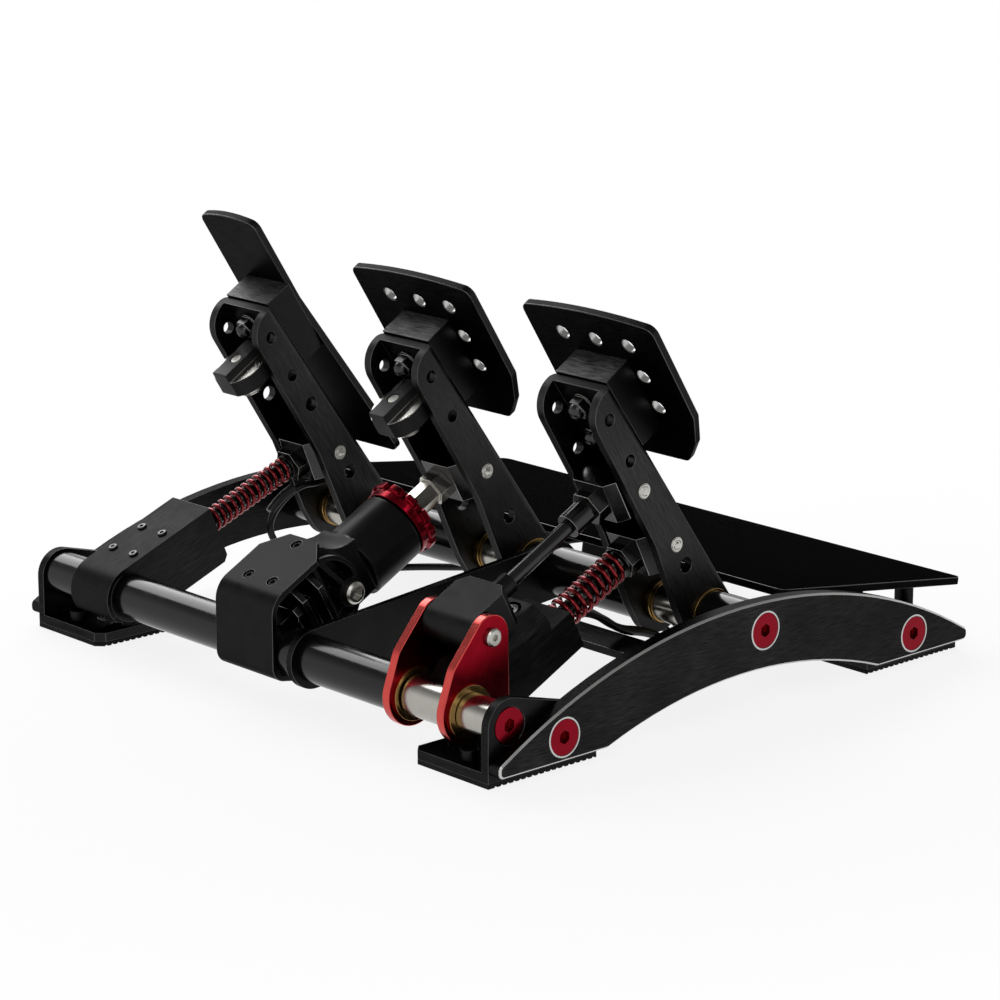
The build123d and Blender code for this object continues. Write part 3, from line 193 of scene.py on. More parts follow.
# %% [markdown]
# The rest of the metals are turned, ground or coated, and each one shines in its own way.
# Anodising dyes the skin of aluminium, so the red pieces keep a metal's shine under their colour.
# Ground steel is nearly a mirror. Black oxide is so thin that the steel under it stays glossy.
# The spacer tubes have a smooth black lacquer, which is no metal and shows one sharp streak of light.

# %% Turned and coated metals
def machined(name, code, worn, roughness, metallic=1, grain_mm=0.8, depth=0.04, **sockets):
    """A fine even skin: cloudy in its roughness, with a very shallow bump."""
    material, tree, shader = surface(name, code, metallic, roughness[0], **sockets)
    place = add(tree, "ShaderNodeTexCoord")
    cloud = add(tree, "ShaderNodeTexNoise", {
        "Vector": place.outputs["Object"], "Scale": 1000 / grain_mm / 12, "Detail": 4})
    speckle = add(tree, "ShaderNodeTexNoise", {
        "Vector": place.outputs["Object"], "Scale": 1000 / grain_mm, "Detail": 2})
    rough = add(tree, "ShaderNodeMapRange", {
        "Value": cloud.outputs["Fac"], "From Min": 0.3, "From Max": 0.7,
        "To Min": roughness[0], "To Max": roughness[1]})
    colour = add(tree, "ShaderNodeMix", {
        "Factor": cloud.outputs["Fac"], "A": linear(code), "B": linear(worn)}, data_type="RGBA")
    bump = add(tree, "ShaderNodeBump", {
        "Height": speckle.outputs["Fac"], "Strength": depth, "Distance": 0.0001})
    tree.links.new(rough.outputs["Result"], shader.inputs["Roughness"])
    tree.links.new(colour.outputs["Result"], shader.inputs["Base Color"])
    tree.links.new(bump.outputs["Normal"], shader.inputs["Normal"])
    return material


dark_edge = linear("#b8b8b8")
black_satin = machined("black_anodised_aluminium_satin", "#202020", "#2a2a2a", (0.34, 0.46),
                       Specular_Tint=dark_edge)
clamp_black = machined("black_anodised_sheet_satin", "#1e1e1e", "#2a2a2a", (0.3, 0.4),
                       Specular_Tint=dark_edge)
bare_edge = machined("bare_cut_aluminium", "#c9c9c7", "#b5b5b4", (0.25, 0.4))
cam_red = machined("bright_red_anodised_aluminium", "#920a1e", "#7a0616", (0.24, 0.34), depth=0.03)
# The paler red of the cams' walls and bevels is a painted highlight.
cam_wall_highlight_paint = machined("red_anodised_wall_painted_highlight", "#d0544c", "#b43c3c", (0.2, 0.3), depth=0.03)
screw_red = machined("deep_red_anodised_aluminium", "#8a0e20", "#700a18", (0.2, 0.3), depth=0.03)
ground_steel = machined("ground_stainless_steel", "#b4b1aa", "#9c9993", (0.16, 0.26), depth=0.02)
turned_steel = machined("turned_bright_steel", "#c8c6c0", "#aeaca6", (0.22, 0.38))
black_oxide = machined("black_oxide_steel", "#323232", "#444444", (0.16, 0.28))
# The next two are painted highlights: lighter colours for the bevels of dark pieces, in place of the light
# that their edges catch.
oxide_edge_highlight_paint = machined("black_oxide_edge_painted_highlight", "#9a9a98", "#6c6c6a", (0.2, 0.35))
anodised_edge_highlight_paint = machined("anodised_edge_painted_highlight", "#585858", "#404040", (0.2, 0.35))
bronze = machined("sintered_bronze", "#bd9b62", "#9c7c48", (0.2, 0.35))
gloss_black = machined("black_lacquered_steel", "#0b0b0b", "#0e0e0e", (0.12, 0.2), 0, depth=0.01,
                       Specular_IOR_Level=0.26)
spring_lacquer = machined("red_lacquered_spring_wire", "#860916", "#6c060f", (0.16, 0.24), 0.8,
                          Coat_Weight=0.25, Coat_Roughness=0.06)
metals = [black_satin, clamp_black, bare_edge, cam_red, cam_wall_highlight_paint, screw_red, ground_steel, turned_steel,
          black_oxide, oxide_edge_highlight_paint, anodised_edge_highlight_paint, bronze, gloss_black, spring_lacquer]
print("turned and coated metals:", len(metals))

# %% [markdown]
# Moulded plastic, rubber and cable sheath are not metals. They reflect a few percent straight on.
# The plastic carries the fine texture of its mould, the rubber is duller still, and the sheath is a
# smooth soft skin. Their bumps come from noise. Its grain is given in millimetres, and is coarser than
# such skins usually have, so that it shows.

# %% Plastic, rubber and sheath
def moulded(name, code, roughness, grain_mm, depth, level):
    """A moulded skin with a fine even texture."""
    material, tree, shader = surface(name, code, 0, roughness, Specular_IOR_Level=level)
    place = add(tree, "ShaderNodeTexCoord")
    grain = add(tree, "ShaderNodeTexNoise", {
        "Vector": place.outputs["Object"], "Scale": 1000 / grain_mm, "Detail": 3, "Roughness": 0.65})
    wear = add(tree, "ShaderNodeTexNoise", {
        "Vector": place.outputs["Object"], "Scale": 40, "Detail": 3})
    rough = add(tree, "ShaderNodeMapRange", {
        "Value": wear.outputs["Fac"], "From Min": 0.3, "From Max": 0.7,
        "To Min": roughness - 0.06, "To Max": roughness + 0.08})
    bump = add(tree, "ShaderNodeBump", {
        "Height": grain.outputs["Fac"], "Strength": depth, "Distance": 0.0002})
    tree.links.new(rough.outputs["Result"], shader.inputs["Roughness"])
    tree.links.new(bump.outputs["Normal"], shader.inputs["Normal"])
    return material


black_nylon = moulded("moulded_black_nylon", "#0e0e0e", 0.34, 0.5, 0.06, 0.12)
weight_nylon = moulded("moulded_dark_grey_weight", "#2a2a2a", 0.5, 0.9, 0.25, 0.2)
ribbed_rubber = moulded("black_nitrile_rubber", "#101010", 0.7, 0.9, 0.2, 0.15)
cable_sheath = moulded("black_pvc_sheath", "#0d0d0d", 0.32, 1.2, 0.04, 0.25)
boot_rubber = moulded("grey_heat_shrink_boot", "#232323", 0.4, 0.8, 0.08, 0.3)
soft_skins = [black_nylon, weight_nylon, ribbed_rubber, cable_sheath, boot_rubber]
print("plastics and rubbers:", len(soft_skins))

# %% [markdown]
# A real edge is never a perfect corner. A machinist breaks it, and that thin slope catches the light.
# On black parts these bright lines are most of what the eye sees, so nearly every piece gets them.
# The model's triangles are merged back into whole faces first, so that the bevel follows whole edges.

# %% Broken edges
def merged(node):
    """The model's piece with its loose triangles joined into whole faces."""
    work = bmesh.new()
    work.from_mesh(frame["nodes"][node].data)
    bmesh.ops.remove_doubles(work, verts=work.verts, dist=0.000002)
    bmesh.ops.dissolve_limit(work, angle_limit=math.radians(0.4), verts=work.verts, edges=work.edges,
                             use_dissolve_boundaries=False)
    return work


def body_of(node):
    """The name of the body that carries a piece."""
    return next(b for b, members in frame["record"]["behaviour"]["bodies"].items() if node in members)


def placed_piece(name, mesh, node, replaced=True):
    """A mesh as a finished piece on the body of a node, standing for the node if asked."""
    piece = in_scene(name, mesh)
    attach(piece, body_of(node))
    if replaced:
        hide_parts(node)
    return piece


edge_angle = math.radians(30)


def broken_edges(node, finish, width=0.0003, choose=None, others=(), with_edge_highlight=False, reshape=None):
    """A copy of a piece with a small bevel on its edges. If asked, the bevel takes the last finish, which
    is then a painted highlight;
    choose gives each face the number of its finish, and reshape moves points before the bevel."""
    work = merged(node)
    if reshape:
        reshape(work)
    mesh = bpy.data.meshes.new(node + "_finished")
    for material in (finish, *others):
        mesh.materials.append(material)
    if choose:
        for face in work.faces:
            face.material_index = choose(face)
    for face in work.faces:
        face.smooth = True
    work.to_mesh(mesh)
    work.free()
    mesh.set_sharp_from_angle(angle=edge_angle)
    piece = placed_piece(node + "_finished", mesh, node)
    bevel = piece.modifiers.new("broken edge", "BEVEL")
    bevel.width = width
    bevel.segments = 2
    bevel.limit_method = "ANGLE"
    bevel.angle_limit = edge_angle
    bevel.use_clamp_overlap = False
    bevel.harden_normals = True
    # The bevel's finish is then a painted highlight.
    if with_edge_highlight:
        bevel.material = len(mesh.materials) - 1

# %% [markdown]
# Each piece of the model now gets the finish of the real one.
# The side plates show bare metal where a cutter took the dye off. In this scene that is the chamfer
# round their whole outline.
# A face of the chamfer is found by its place: its middle lies just inside the plate's outer face.

# %% Finish the side plates
plate_face = 0.19
chamfer_low = 0.1889
chamfer_high = 0.18995


def bare_faces(face):
    """1 for a face of the chamfer of a side plate."""
    return 1 if chamfer_low < abs(face.calc_center_median().x) < chamfer_high else 0


broken_edges("side_plates", black_along, 0.0002, bare_faces, (bare_edge,))

# %% [markdown]
# Dark pieces get a lighter finish on their bevels: a painted highlight along their edges.
# The tops of the pad blocks are brushed coarser than their sides and painted lighter, a painted highlight
# of the light from above.
# The holes in the pads show bare walls, and a motor's weight shows its steel end. A small test finds the
# faces of each of these.

# %% Tell faces apart
def highlighted_edges(node, finish, width, edge):
    """Broken edges whose bevels are painted lighter, as a painted highlight."""
    broken_edges(node, finish, width, others=(edge,), with_edge_highlight=True)


mostly_up = 0.6


def lit_top_face(face):
    """1 for the top of a pad's block, which is brushed coarser than its sides and painted lighter as a
    painted highlight.
    """
    return 1 if face.normal.z > mostly_up else 0


tilt = math.radians(lean)
up_the_arm = Vector((0, math.sin(tilt), math.cos(tilt)))
square_on = 0.9
below_bar = 0.002


def drum_end(node):
    """Tells the steel end of a motor's weight, under its raised bar, from the bar and the sides."""
    work = merged(node)
    top = max(vertex.co.dot(up_the_arm) for vertex in work.verts)
    work.free()

    def chosen(face):
        depth = top - face.calc_center_median().dot(up_the_arm)
        return 1 if face.normal.dot(up_the_arm) > square_on and depth > below_bar else 0
    return chosen


clear_of_face = 0.0001
hole_width = 0.008


def hole_walls(node):
    """Tells the wall of a hole, which looks at its own other side, from the other faces of a piece."""
    work = merged(node)
    tree = BVHTree.FromBMesh(work)
    work.free()

    def chosen(face):
        start = face.calc_center_median() + face.normal * clear_of_face
        return 1 if tree.ray_cast(start, face.normal, hole_width)[0] else 0
    return chosen

# %% [markdown]
# The side plates are brushed from front to back, the other plates from side to side, and the arms up
# their slope. Many screws and the swivel blocks are steel with black oxide, the shafts are ground, and
# the motors are turned. How wide each edge is broken is given piece by piece.

# %% Finish the other plates, blocks and shafts
# The lighter bevel finishes below are painted highlights.
highlighted_edges("heel_plate", black_heel, 0.0003, anodised_edge_highlight_paint)
for node in ("brackets", "cross_strut", "heel_supports", "tie_plate"):
    highlighted_edges(node, black_across, 0.0002, anodised_edge_highlight_paint)
for name in ("throttle", "brake", "clutch"):
    highlighted_edges(name + "_arm", black_arm, 0.0003, anodised_edge_highlight_paint)
    broken_edges(name + "_pad", black_across, 0.0004, hole_walls(name + "_pad"), (bare_edge, anodised_edge_highlight_paint),
                 with_edge_highlight=True)
    broken_edges(name + "_pad_block", black_across, 0.0003, lit_top_face, (block_top_highlight_paint, anodised_edge_highlight_paint), with_edge_highlight=True)
    broken_edges(name + "_bushings", bronze, 0.0002)
    broken_edges(name + "_pivot_pins", turned_steel, 0.0002)
    highlighted_edges(name + "_pad_fasteners", black_oxide, 0.0002, oxide_edge_highlight_paint)
for name in ("throttle", "brake"):
    broken_edges(name + "_motor", turned_steel, 0.0001)
    node = name + "_motor_weight"
    broken_edges(node, weight_nylon, 0.0007, drum_end(node), (turned_steel,))
for node in ("throttle_swivel_block", "brake_swivel_block", "clutch_lower_block", "clutch_upper_block"):
    highlighted_edges(node, black_oxide, 0.00025, oxide_edge_highlight_paint)
highlighted_edges("clutch_rod_end", black_satin, 0.0002, anodised_edge_highlight_paint)
highlighted_edges("brake_load_cell", black_satin, 0.0003, oxide_edge_highlight_paint)
highlighted_edges("throttle_housing", black_down_rod, 0.00015, anodised_edge_highlight_paint)
highlighted_edges("brake_clamp", clamp_black, 0.0003, anodised_edge_highlight_paint)
for node in ("throttle_housing_screws", "clutch_housing_screw", "clutch_spring_rod", "throttle_rod",
             "clutch_push_rod"):
    broken_edges(node, black_oxide, 0.00015)
broken_edges("floor_bolts", black_satin, 0.0002)
broken_edges("clutch_cam_screws", turned_steel, 0.00015)
for node in ("red_screws", "brake_adjuster_ring"):
    broken_edges(node, screw_red, 0.0003)
for node in ("axle", "front_bar", "brake_rod"):
    broken_edges(node, ground_steel, 0.0002)
broken_edges("clutch_cam_bushings", bronze, 0.0002)
broken_edges("rubber_feet", ribbed_rubber, 0.0002)
broken_edges("control_box", black_nylon, 0.0006)

# %% [markdown]
# Most spacer tubes are lacquered black. In this scene the tube beside the cams, the one between them
# and what shows of the clevis bolts in the brake are bare steel, so these faces are chosen by place.
# The model's hub between the cams is drawn in to the size of that tube.
# The cams' walls and the bevels round them are painted a paler red than their flat faces: a painted
# highlight.

# %% Finish the pieces with two finishes
on_the_bar = 0.1
outer_cam = -0.15


def by_the_cams(face):
    """1 for a face of the spacer tube between the outer cam and its bracket."""
    middle = face.calc_center_median()
    return 1 if middle.y > on_the_bar and middle.x < outer_cam else 0


def bar_distance(point):
    """How far a point is from the middle line of the front bar."""
    return math.hypot(point.y - bar_y, point.z - bar_z)


def narrow_hub(work):
    """Draws the hub between the cams in to the radius of a steel tube."""
    for vertex in work.verts:
        far = bar_distance(vertex.co)
        if abs(far - hub_radius) < hub_slack and abs(vertex.co.x - clutch_x) < hub_half:
            vertex.co.y = bar_y + (vertex.co.y - bar_y) * tube_radius / far
            vertex.co.z = bar_z + (vertex.co.z - bar_z) * tube_radius / far
    work.normal_update()


def hub_face(face):
    """1 for a face of the tube between the cams."""
    middle = face.calc_center_median()
    near = abs(middle.x - clutch_x) < hub_half and abs(face.normal.x) < round_wall
    return 1 if near and tube_low < bar_distance(middle) < tube_high else 0


def cam_wall(face):
    """1 for the narrow wall all round a cam, which gets the painted highlight."""
    return 1 if abs(face.normal.x) < cam_side else 0


def clevis_face(face):
    """1 for a face of a clevis bolt, which stands out at the side of the brake's cylinder."""
    return 1 if abs(face.calc_center_median().x) > bolt_side else 0


low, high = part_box("front_bar")
bar_y = (low.y + high.y) / 2
bar_z = (low.z + high.z) / 2
pedal_x = {"throttle": 0.131, "brake": 0, "clutch": -0.131}
clutch_x = pedal_x["clutch"]
hub_radius = 0.0145
hub_slack = 0.0004
hub_half = 0.0148
tube_radius = 0.0108
tube_low = 0.009
tube_high = 0.0118
round_wall = 0.2
cam_side = 0.5
bolt_side = 0.0135
broken_edges("clutch_housing", black_down_rod, 0.00015, hub_face, (ground_steel,), reshape=narrow_hub)
broken_edges("clutch_cams", cam_red, 0.0005, cam_wall, (cam_wall_highlight_paint,), with_edge_highlight=True)
broken_edges("sleeves", gloss_black, 0.0002, by_the_cams, (ground_steel,))
broken_edges("brake_screws", black_satin, 0.0002, clevis_face, (turned_steel,))

# %% [markdown]
# The brake's cylinder looks like one moulding of black nylon, without a sharp corner anywhere: the
# barrel flows into the waist and the waist into the ribbed foot. A voxel remesh gives the piece an even
# skin, and smoothing that skin rounds all its corners.

# %% Mould the brake's cylinder
def mesh_of(holder, name):
    """The finished mesh of a working object, which is then removed."""
    mesh = bpy.data.meshes.new_from_object(holder.evaluated_get(bpy.context.evaluated_depsgraph_get()))
    bpy.data.objects.remove(holder)
    mesh.name = name
    return mesh


def moulded_piece(node, finish, voxel, passes):
    """A copy of a piece with an even skin, smoothed so that its corners are round."""
    work = merged(node)
    mesh = bpy.data.meshes.new(node + "_moulded")
    work.to_mesh(mesh)
    work.free()
    holder = in_scene(node + "_moulded", mesh)
    remesh = holder.modifiers.new("even skin", "REMESH")
    remesh.mode = "VOXEL"
    remesh.voxel_size = voxel
    smooth = holder.modifiers.new("round corners", "SMOOTH")
    smooth.factor = 0.5
    smooth.iterations = passes
    skin = mesh_of(holder, node + "_moulded")
    skin.materials.clear()
    skin.materials.append(finish)
    skin.shade_smooth()
    return placed_piece(node + "_moulded", skin, node)


cylinder = moulded_piece("brake_cylinder", black_nylon, 0.0006, 9)
print("faces of the moulded cylinder:", len(cylinder.data.polygons))

# %% [markdown]
# A spring is wire wound on a mandrel, and a screw thread is a ridge that winds the same way.
# One tree of geometry nodes makes both: a spiral line, swept with a round or a four-sided section.
# Its sizes are inputs, so each spring and each thread is the same tree with other numbers.

# %% A tree for wound wire and threads
def tree_with(name, inputs):
    """A new tree of geometry nodes, its inputs by name, and the node that gives its result."""
    tree = bpy.data.node_groups.new(name, "GeometryNodeTree")
    for label, kind in inputs.items():
        tree.interface.new_socket(label, in_out="INPUT", socket_type="NodeSocket" + kind)
    tree.interface.new_socket("Geometry", in_out="OUTPUT", socket_type="NodeSocketGeometry")
    return tree, tree.nodes.new("NodeGroupInput").outputs, tree.nodes.new("NodeGroupOutput")


wound, given, result = tree_with("wound_wire", {
    "Mean Radius": "Float", "Wire Radius": "Float", "Turns": "Float", "Length": "Float",
    "Steps": "Int", "Sides": "Int", "Finish": "Material"})
spiral = add(wound, "GeometryNodeCurveSpiral", {
    "Resolution": given["Steps"], "Rotations": given["Turns"], "Start Radius": given["Mean Radius"],
    "End Radius": given["Mean Radius"], "Height": given["Length"]})
section = add(wound, "GeometryNodeCurvePrimitiveCircle", {
    "Resolution": given["Sides"], "Radius": given["Wire Radius"]})
swept = add(wound, "GeometryNodeCurveToMesh", {
    "Curve": spiral.outputs["Curve"], "Profile Curve": section.outputs["Curve"], "Fill Caps": True})
whole = add(wound, "GeometryNodeRealizeInstances", {"Geometry": swept.outputs["Mesh"]})
painted = add(wound, "GeometryNodeSetMaterial", {
    "Geometry": whole.outputs["Geometry"], "Material": given["Finish"]})
wound.links.new(painted.outputs["Geometry"], result.inputs["Geometry"])


def baked(name, tree, values, place, start=None):
    """The mesh that a tree makes with some values, moved to its place."""
    holder = in_scene(name, start or bpy.data.meshes.new(name + "_empty"))
    modifier = holder.modifiers.new("tree", "NODES")
    modifier.node_group = tree
    for socket in tree.interface.items_tree:
        if socket.in_out == "INPUT" and socket.name in values:
            modifier[socket.identifier] = values[socket.name]
    mesh = mesh_of(holder, name)
    mesh.transform(place)
    mesh.shade_smooth()
    return mesh

# %% [markdown]
# Each rod starts at the front bar and runs up to a pin in its pedal. Its slope and its start give a
# place for everything that sits round it. A spring rides on its box. The real one shortens as the pedal
# is pressed, but this one keeps its length.

# %% Wind the springs and cut the threads
def round_rod(x, slope, drop=0):
    """The place of a rod: its line runs along the local Z from the front bar, or from just under it."""
    return (Matrix.Translation((x, bar_y, bar_z)) @ Matrix.Rotation(math.radians(90 - slope), 4, "X")
            @ Matrix.Translation((0, drop, 0)))


throttle_line = round_rod(pedal_x["throttle"], 21.733)
clutch_line = round_rod(clutch_x, 26.446, -0.0125)
end_gap = 0.0003


def wind(name, node, line, outer, wire, turns, low, high):
    """A wound spring between two places along its rod."""
    start = low + end_gap + wire / 2
    mesh = baked(name, wound, {
        "Mean Radius": outer - wire / 2, "Wire Radius": wire / 2, "Turns": turns,
        "Length": high - low - 2 * end_gap - wire, "Steps": 40, "Sides": 14, "Finish": spring_lacquer},
        line @ Matrix.Translation((0, 0, start)))
    piece = placed_piece(name, mesh, node)
    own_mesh(piece)


ridge_share = 0.42


def thread(name, node, line, radius, pitch, low, high):
    """The ridge of a screw thread round a rod."""
    mesh = baked(name, wound, {
        "Mean Radius": radius, "Wire Radius": pitch * ridge_share, "Turns": (high - low) / pitch,
        "Length": high - low, "Steps": 24, "Sides": 4, "Finish": black_oxide},
        line @ Matrix.Translation((0, 0, low)))
    mesh.set_sharp_from_angle(angle=math.radians(40))
    placed_piece(name, mesh, node, replaced=False)


wind("throttle_spring_wire", "throttle_spring", throttle_line, 0.0069, 0.0021, 16, 0.056, 0.1286)
wind("clutch_spring_wire", "clutch_spring", clutch_line, 0.0085, 0.0024, 10, 0.077, 0.1281)
thread("throttle_rod_thread", "throttle_rod", throttle_line, 0.0038, 0.00125, 0.045, 0.1286)
thread("clutch_rod_thread", "clutch_spring_rod", clutch_line, 0.0038, 0.00125, 0.045, 0.104)

# %% [markdown]
# A turned piece is one profile swept round a line, as on a lathe. One function sweeps a profile, and a
# second tree of geometry nodes copies the shape to each of its places, facing one way or the other.

# %% A tree that copies a turned shape to its places
ridge_angle = math.radians(35)


def turned_shape(name, profile, finish, steps=32):
    """A shape turned about X from a profile of distances along X and radii, in millimetres."""
    work = bmesh.new()
    rings = []
    for x, radius in profile:
        angles = [2 * math.pi * i / steps for i in range(steps)]
        rings.append([work.verts.new((x / 1000, radius / 1000 * math.cos(a), radius / 1000 * math.sin(a)))
                      for a in angles])
    for low, high in zip(rings, rings[1:]):
        for i in range(steps):
            work.faces.new((low[i], low[i - 1], high[i - 1], high[i]))
    bmesh.ops.remove_doubles(work, verts=work.verts, dist=0.000001)
    bmesh.ops.recalc_face_normals(work, faces=work.faces)
    mesh = bpy.data.meshes.new(name)
    work.to_mesh(mesh)
    work.free()
    mesh.materials.append(finish)
    mesh.shade_smooth()
    mesh.set_sharp_from_angle(angle=ridge_angle)
    return in_scene(name, mesh)


copied, given, result = tree_with("copies_at_places", {
    "Geometry": "Geometry", "Shape": "Object", "Finish": "Material"})
facing = add(copied, "GeometryNodeInputNamedAttribute", {"Name": "facing"}, data_type="FLOAT_VECTOR")
shape = add(copied, "GeometryNodeObjectInfo", {"Object": given["Shape"]})
copies = add(copied, "GeometryNodeInstanceOnPoints", {
    "Points": given["Geometry"], "Instance": shape.outputs["Geometry"],
    "Rotation": facing.outputs["Attribute"]})
whole = add(copied, "GeometryNodeRealizeInstances", {"Geometry": copies.outputs["Instances"]})
painted = add(copied, "GeometryNodeSetMaterial", {
    "Geometry": whole.outputs["Geometry"], "Material": given["Finish"]})
copied.links.new(painted.outputs["Geometry"], result.inputs["Geometry"])


def copies_of(name, shape, places, finish, node):
    """A turned shape copied to places, each a point and 1 or -1 for the way along X that it faces."""
    points = bpy.data.meshes.new(name + "_points")
    points.from_pydata([point for point, way in places], [], [])
    turns = points.attributes.new("facing", "FLOAT_VECTOR", "POINT")
    for item, (point, way) in zip(turns.data, places):
        item.vector = (0, 0, 0 if way > 0 else math.pi)
    mesh = baked(name, copied, {"Shape": shape, "Finish": finish}, Matrix.Identity(4), points)
    mesh.set_sharp_from_angle(angle=ridge_angle)
    placed_piece(name, mesh, node, replaced=False)

# %% [markdown]
# The face of a pivot pin shows the lathe's work: a ring groove and a centre dimple.
# Inside each cheek of an arm the bronze bushing shows as a narrow band round the axle, and a bare steel
# tube fills the space between the two bands. A thin bright rim is left round each screw of the side
# plates.

# %% Pin faces, bushing bands, spacer tubes and screw seats
pin_face = turned_shape("pin_face", [
    (0.0, 3.7), (0.35, 3.5), (0.35, 2.6), (0.1, 2.35), (0.35, 2.1), (0.35, 1.2), (-0.1, 0.5), (-0.25, 0)],
    turned_steel)
band = turned_shape("bushing_band", [
    (0, 8.2), (0, 11), (0.9, 11), (1.1, 10.7), (2.1, 10.7), (2.3, 11), (3.1, 11), (3.2, 10.8), (3.2, 8.2)],
    bronze)
tube = turned_shape("spacer_tube", [
    (0, 8.2), (0, 10.3), (0.2, 10.5), (21, 10.5), (21.2, 10.3), (21.2, 8.2)], ground_steel)
seat = turned_shape("screw_seat", [
    (-0.3, 9.2), (0.1, 9.3), (0.16, 9.6), (0.1, 10.1), (-0.1, 10.3)], bare_edge)
axle_y = -0.0115
axle_z = 0.0434
arm_half = 0.021
arm_wall = 0.005
pins = {"throttle": [(-0.0005, 0.049)], "brake": [(-0.001, 0.0666)],
        "clutch": [(-0.0005, 0.049), (0.0023, 0.0883)]}
bushing_lip = 0.002
half_tube = 0.0106
for name, x in pedal_x.items():
    low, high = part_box(name + "_pivot_pins")
    holes = []
    for front, rise in pins[name]:
        y = axle_y + rise * math.sin(tilt) + front * math.cos(tilt)
        z = axle_z + rise * math.cos(tilt) - front * math.sin(tilt)
        holes += [((high.x, y, z), 1), ((low.x, y, z), -1)]
    copies_of(name + "_pin_faces", pin_face, holes, turned_steel, name + "_pivot_pins")
    inner = arm_half - arm_wall - bushing_lip
    copies_of(name + "_bushing_bands", band, [
        ((x - inner, axle_y, axle_z), 1), ((x + inner, axle_y, axle_z), -1)], bronze, name + "_bushings")
    copies_of(name + "_spacer_tube", tube, [((x - half_tube, axle_y, axle_z), 1)], ground_steel, "axle")
side_screws = [(0.1272, 0.0186), (-0.1255, 0.0186), (axle_y, axle_z)]
seats = [((plate_face * side, y, z), side) for side in (1, -1) for y, z in side_screws]
copies_of("screw_seats", seat, seats, bare_edge, "side_plates")
for shape in (pin_face, band, tube, seat):
    bpy.data.objects.remove(shape)

# %% [markdown]
# The cables are soft black sheath, held at both ends, so each follows one smooth curve.
# Their points are the ones that the engineering model uses, and the curve cuts inside their corners.
# The throttle's cable leaves the pedal in a thicker grey boot, which only this scene has.
# One end of each cable moves with a pedal or a box.

# %% Lay the cables
def laid(name, points, radius, finish):
    """A smooth round cable through its control points, given in millimetres."""
    line = bpy.data.curves.new(name, "CURVE")
    line.dimensions = "3D"
    line.resolution_u = 12
    line.bevel_depth = radius
    line.bevel_resolution = 5
    line.use_fill_caps = True
    spline = line.splines.new("NURBS")
    spline.points.add(len(points) - 1)
    for control, (x, y, z) in zip(spline.points, points):
        control.co = (x / 1000, y / 1000, z / 1000, 1)
    spline.order_u = 3
    spline.use_endpoint_u = True
    line.materials.append(finish)
    return line


def bent_cable(name, points, radius, finish, node, replaced=True):
    """A smooth cable in its place, hiding the model's cable if it is replaced."""
    piece = in_scene(name, mesh_of(in_scene(name, laid(name, points, radius, finish)), name))
    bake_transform(piece)
    if replaced:
        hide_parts(node)


throttle_route = [
    (125, -1, 71.5), (125, 14, 65), (125, 34, 67), (125, 57, 49), (125, 43, 28), (122, 20, 17),
    (112, -4, 14), (92, -28, 15), (62, -37, 19), (28, -34, 28), (10.5, -60.1, 41.1), (10.5, -77.2, 38.6)]
boot_route = [(125, 36, 65.5), (125, 45, 62.5), (125, 52.5, 55)]
clutch_route = [
    (-117, 74.6, 46.6), (-117, 60, 53.5), (-117, 41, 49), (-117.5, 22, 35), (-118, 4, 31), (-118, -14, 22),
    (-108, -30, 19), (-72, -36, 26), (-51, -60.1, 41.1), (-51, -77.2, 38.6)]
clutch_second_route = [
    (-121.5, 74.6, 46.6), (-121.5, 60, 52.5), (-121.5, 40, 47.5), (-121.5, 22, 34.5), (-121.5, 4, 30.5),
    (-122, -14, 21), (-113, -38, 18), (-71, -46, 27), (-58, -60.1, 41.1), (-58, -77.2, 38.6)]
bent_cable("throttle_cable_sheath", throttle_route, 0.002, cable_sheath, "throttle_cable")
bent_cable("throttle_cable_boot", boot_route, 0.0027, boot_rubber, "throttle_cable",
           replaced=False)
clutch_routes = {"clutch_cable_sheath": clutch_route, "clutch_second_cable_sheath": clutch_second_route}
for name, route in clutch_routes.items():
    bent_cable(name, route, 0.002, cable_sheath, "clutch_cables")

# %% [markdown]
# The stage is a white sheet under one large soft lamp, high up on the far side, and a weak fill.
# Black shows its form by what it mirrors, so the room is white at the horizon and darker overhead.
# The camera and shiny metal see that room, and the diffuse light stays low, so black reads as black.

# %% Stage and light
world = bpy.data.worlds.new("studio")
bpy.context.scene.world = world
world.use_nodes = True
sky = world.node_tree
sky.nodes.clear()


def seen_directly(tree):
    """1 for what the camera, a reflection or glass sees, and 0 for what only lights other things."""
    path = add(tree, "ShaderNodeLightPath")
    seen = add(tree, "ShaderNodeMath", {0: path.outputs["Is Camera Ray"], 1: path.outputs["Is Glossy Ray"]},
               operation="MAXIMUM")
    return add(tree, "ShaderNodeMath", {0: seen.outputs[0], 1: path.outputs["Is Transmission Ray"]},
               operation="MAXIMUM").outputs[0]


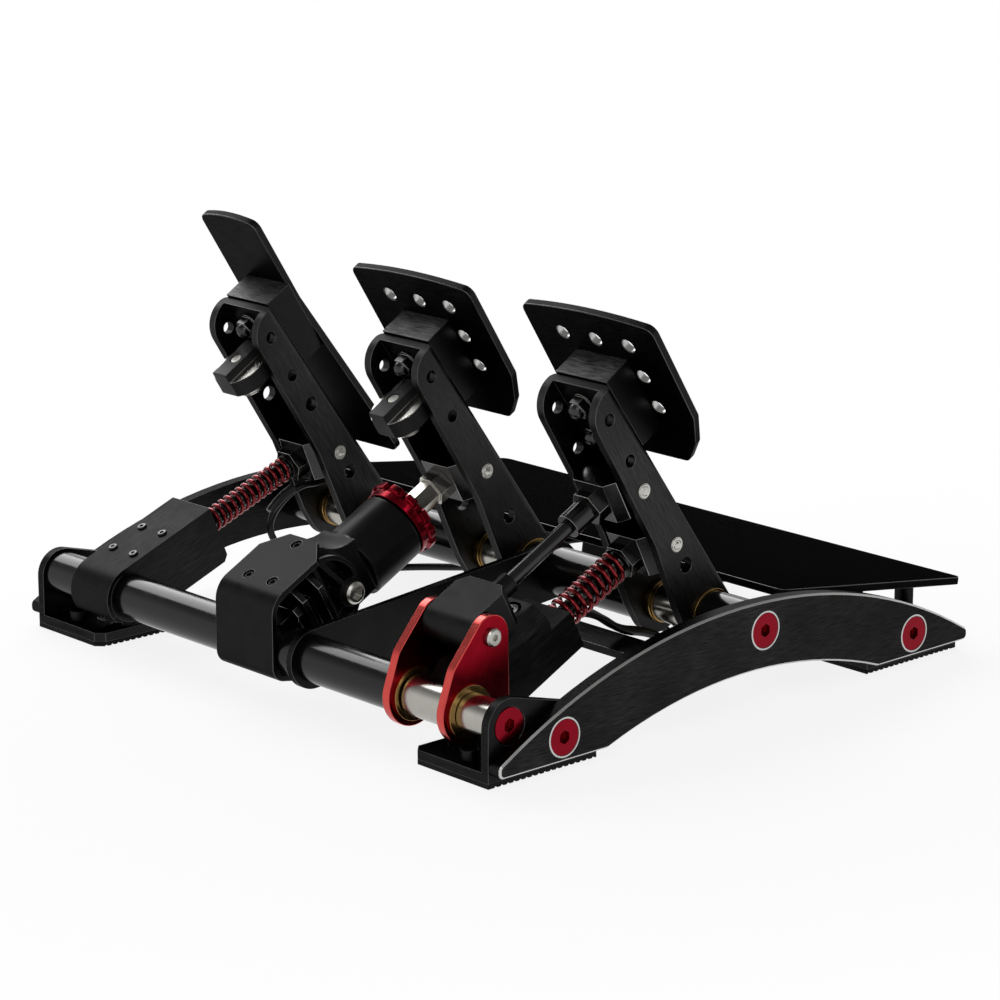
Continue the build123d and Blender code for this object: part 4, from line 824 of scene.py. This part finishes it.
direction = add(sky, "ShaderNodeTexCoord")
height = add(sky, "ShaderNodeSeparateXYZ", {"Vector": direction.outputs["Generated"]})
room = add(sky, "ShaderNodeMapRange", {
    "Value": height.outputs["Z"], "From Min": 0.25, "From Max": 0.6, "To Min": 1.0, "To Max": 0.25})
strength = add(sky, "ShaderNodeMix", {
    "Factor": seen_directly(sky), "A": 0.35, "B": room.outputs["Result"]}, data_type="FLOAT")
white = add(sky, "ShaderNodeBackground", {"Color": (1, 1, 1, 1), "Strength": strength.outputs["Result"]})
add(sky, "ShaderNodeOutputWorld", {"Surface": white.outputs["Background"]})

floor = in_scene("floor", bpy.data.meshes.new("floor"))
half_floor = 9
corners = [(x * half_floor, y * half_floor, 0) for x, y in ((-1, -1), (1, -1), (1, 1), (-1, 1))]
floor.data.from_pydata(corners, [], [(0, 1, 2, 3)])
floor_paint, paint, shader = surface("white_paper_sheet", "#fafafa", 0, 0.9, Specular_IOR_Level=0.0)
tree_out = next(n for n in paint.nodes if n.type == "OUTPUT_MATERIAL")
spot = add(paint, "ShaderNodeTexCoord")
reach = add(paint, "ShaderNodeVectorMath", {0: spot.outputs["Object"]}, operation="LENGTH")
share = add(paint, "ShaderNodeMapRange", {
    "Value": reach.outputs["Value"], "From Min": 0.25, "From Max": 0.6, "To Min": 0.86, "To Max": 1.0})
glow = add(paint, "ShaderNodeEmission", {"Color": (1, 1, 1, 1), "Strength": seen_directly(paint)})
mixed = add(paint, "ShaderNodeMixShader", {
    "Fac": share.outputs["Result"], 1: shader.outputs["BSDF"], 2: glow.outputs[0]})
paint.links.new(mixed.outputs[0], tree_out.inputs["Surface"])
floor.data.materials.append(floor_paint)


def lamp(name, place, aim, size, power):
    """A soft rectangular lamp that faces a point."""
    light = bpy.data.lights.new(name, "AREA")
    light.shape = "RECTANGLE"
    light.size, light.size_y = size
    light.energy = power
    made = in_scene(name, light)
    made.location = place
    made.rotation_euler = (Vector(aim) - Vector(place)).to_track_quat("-Z", "Y").to_euler()


lamp("high back lamp", (1.1, -0.33, 1.0), (0, 0.05, 0.05), (1.6, 0.9), 22)
lamp("fill lamp", (-1.2, 0.9, 1.3), (0, 0, 0.05), (0.9, 0.9), 5)
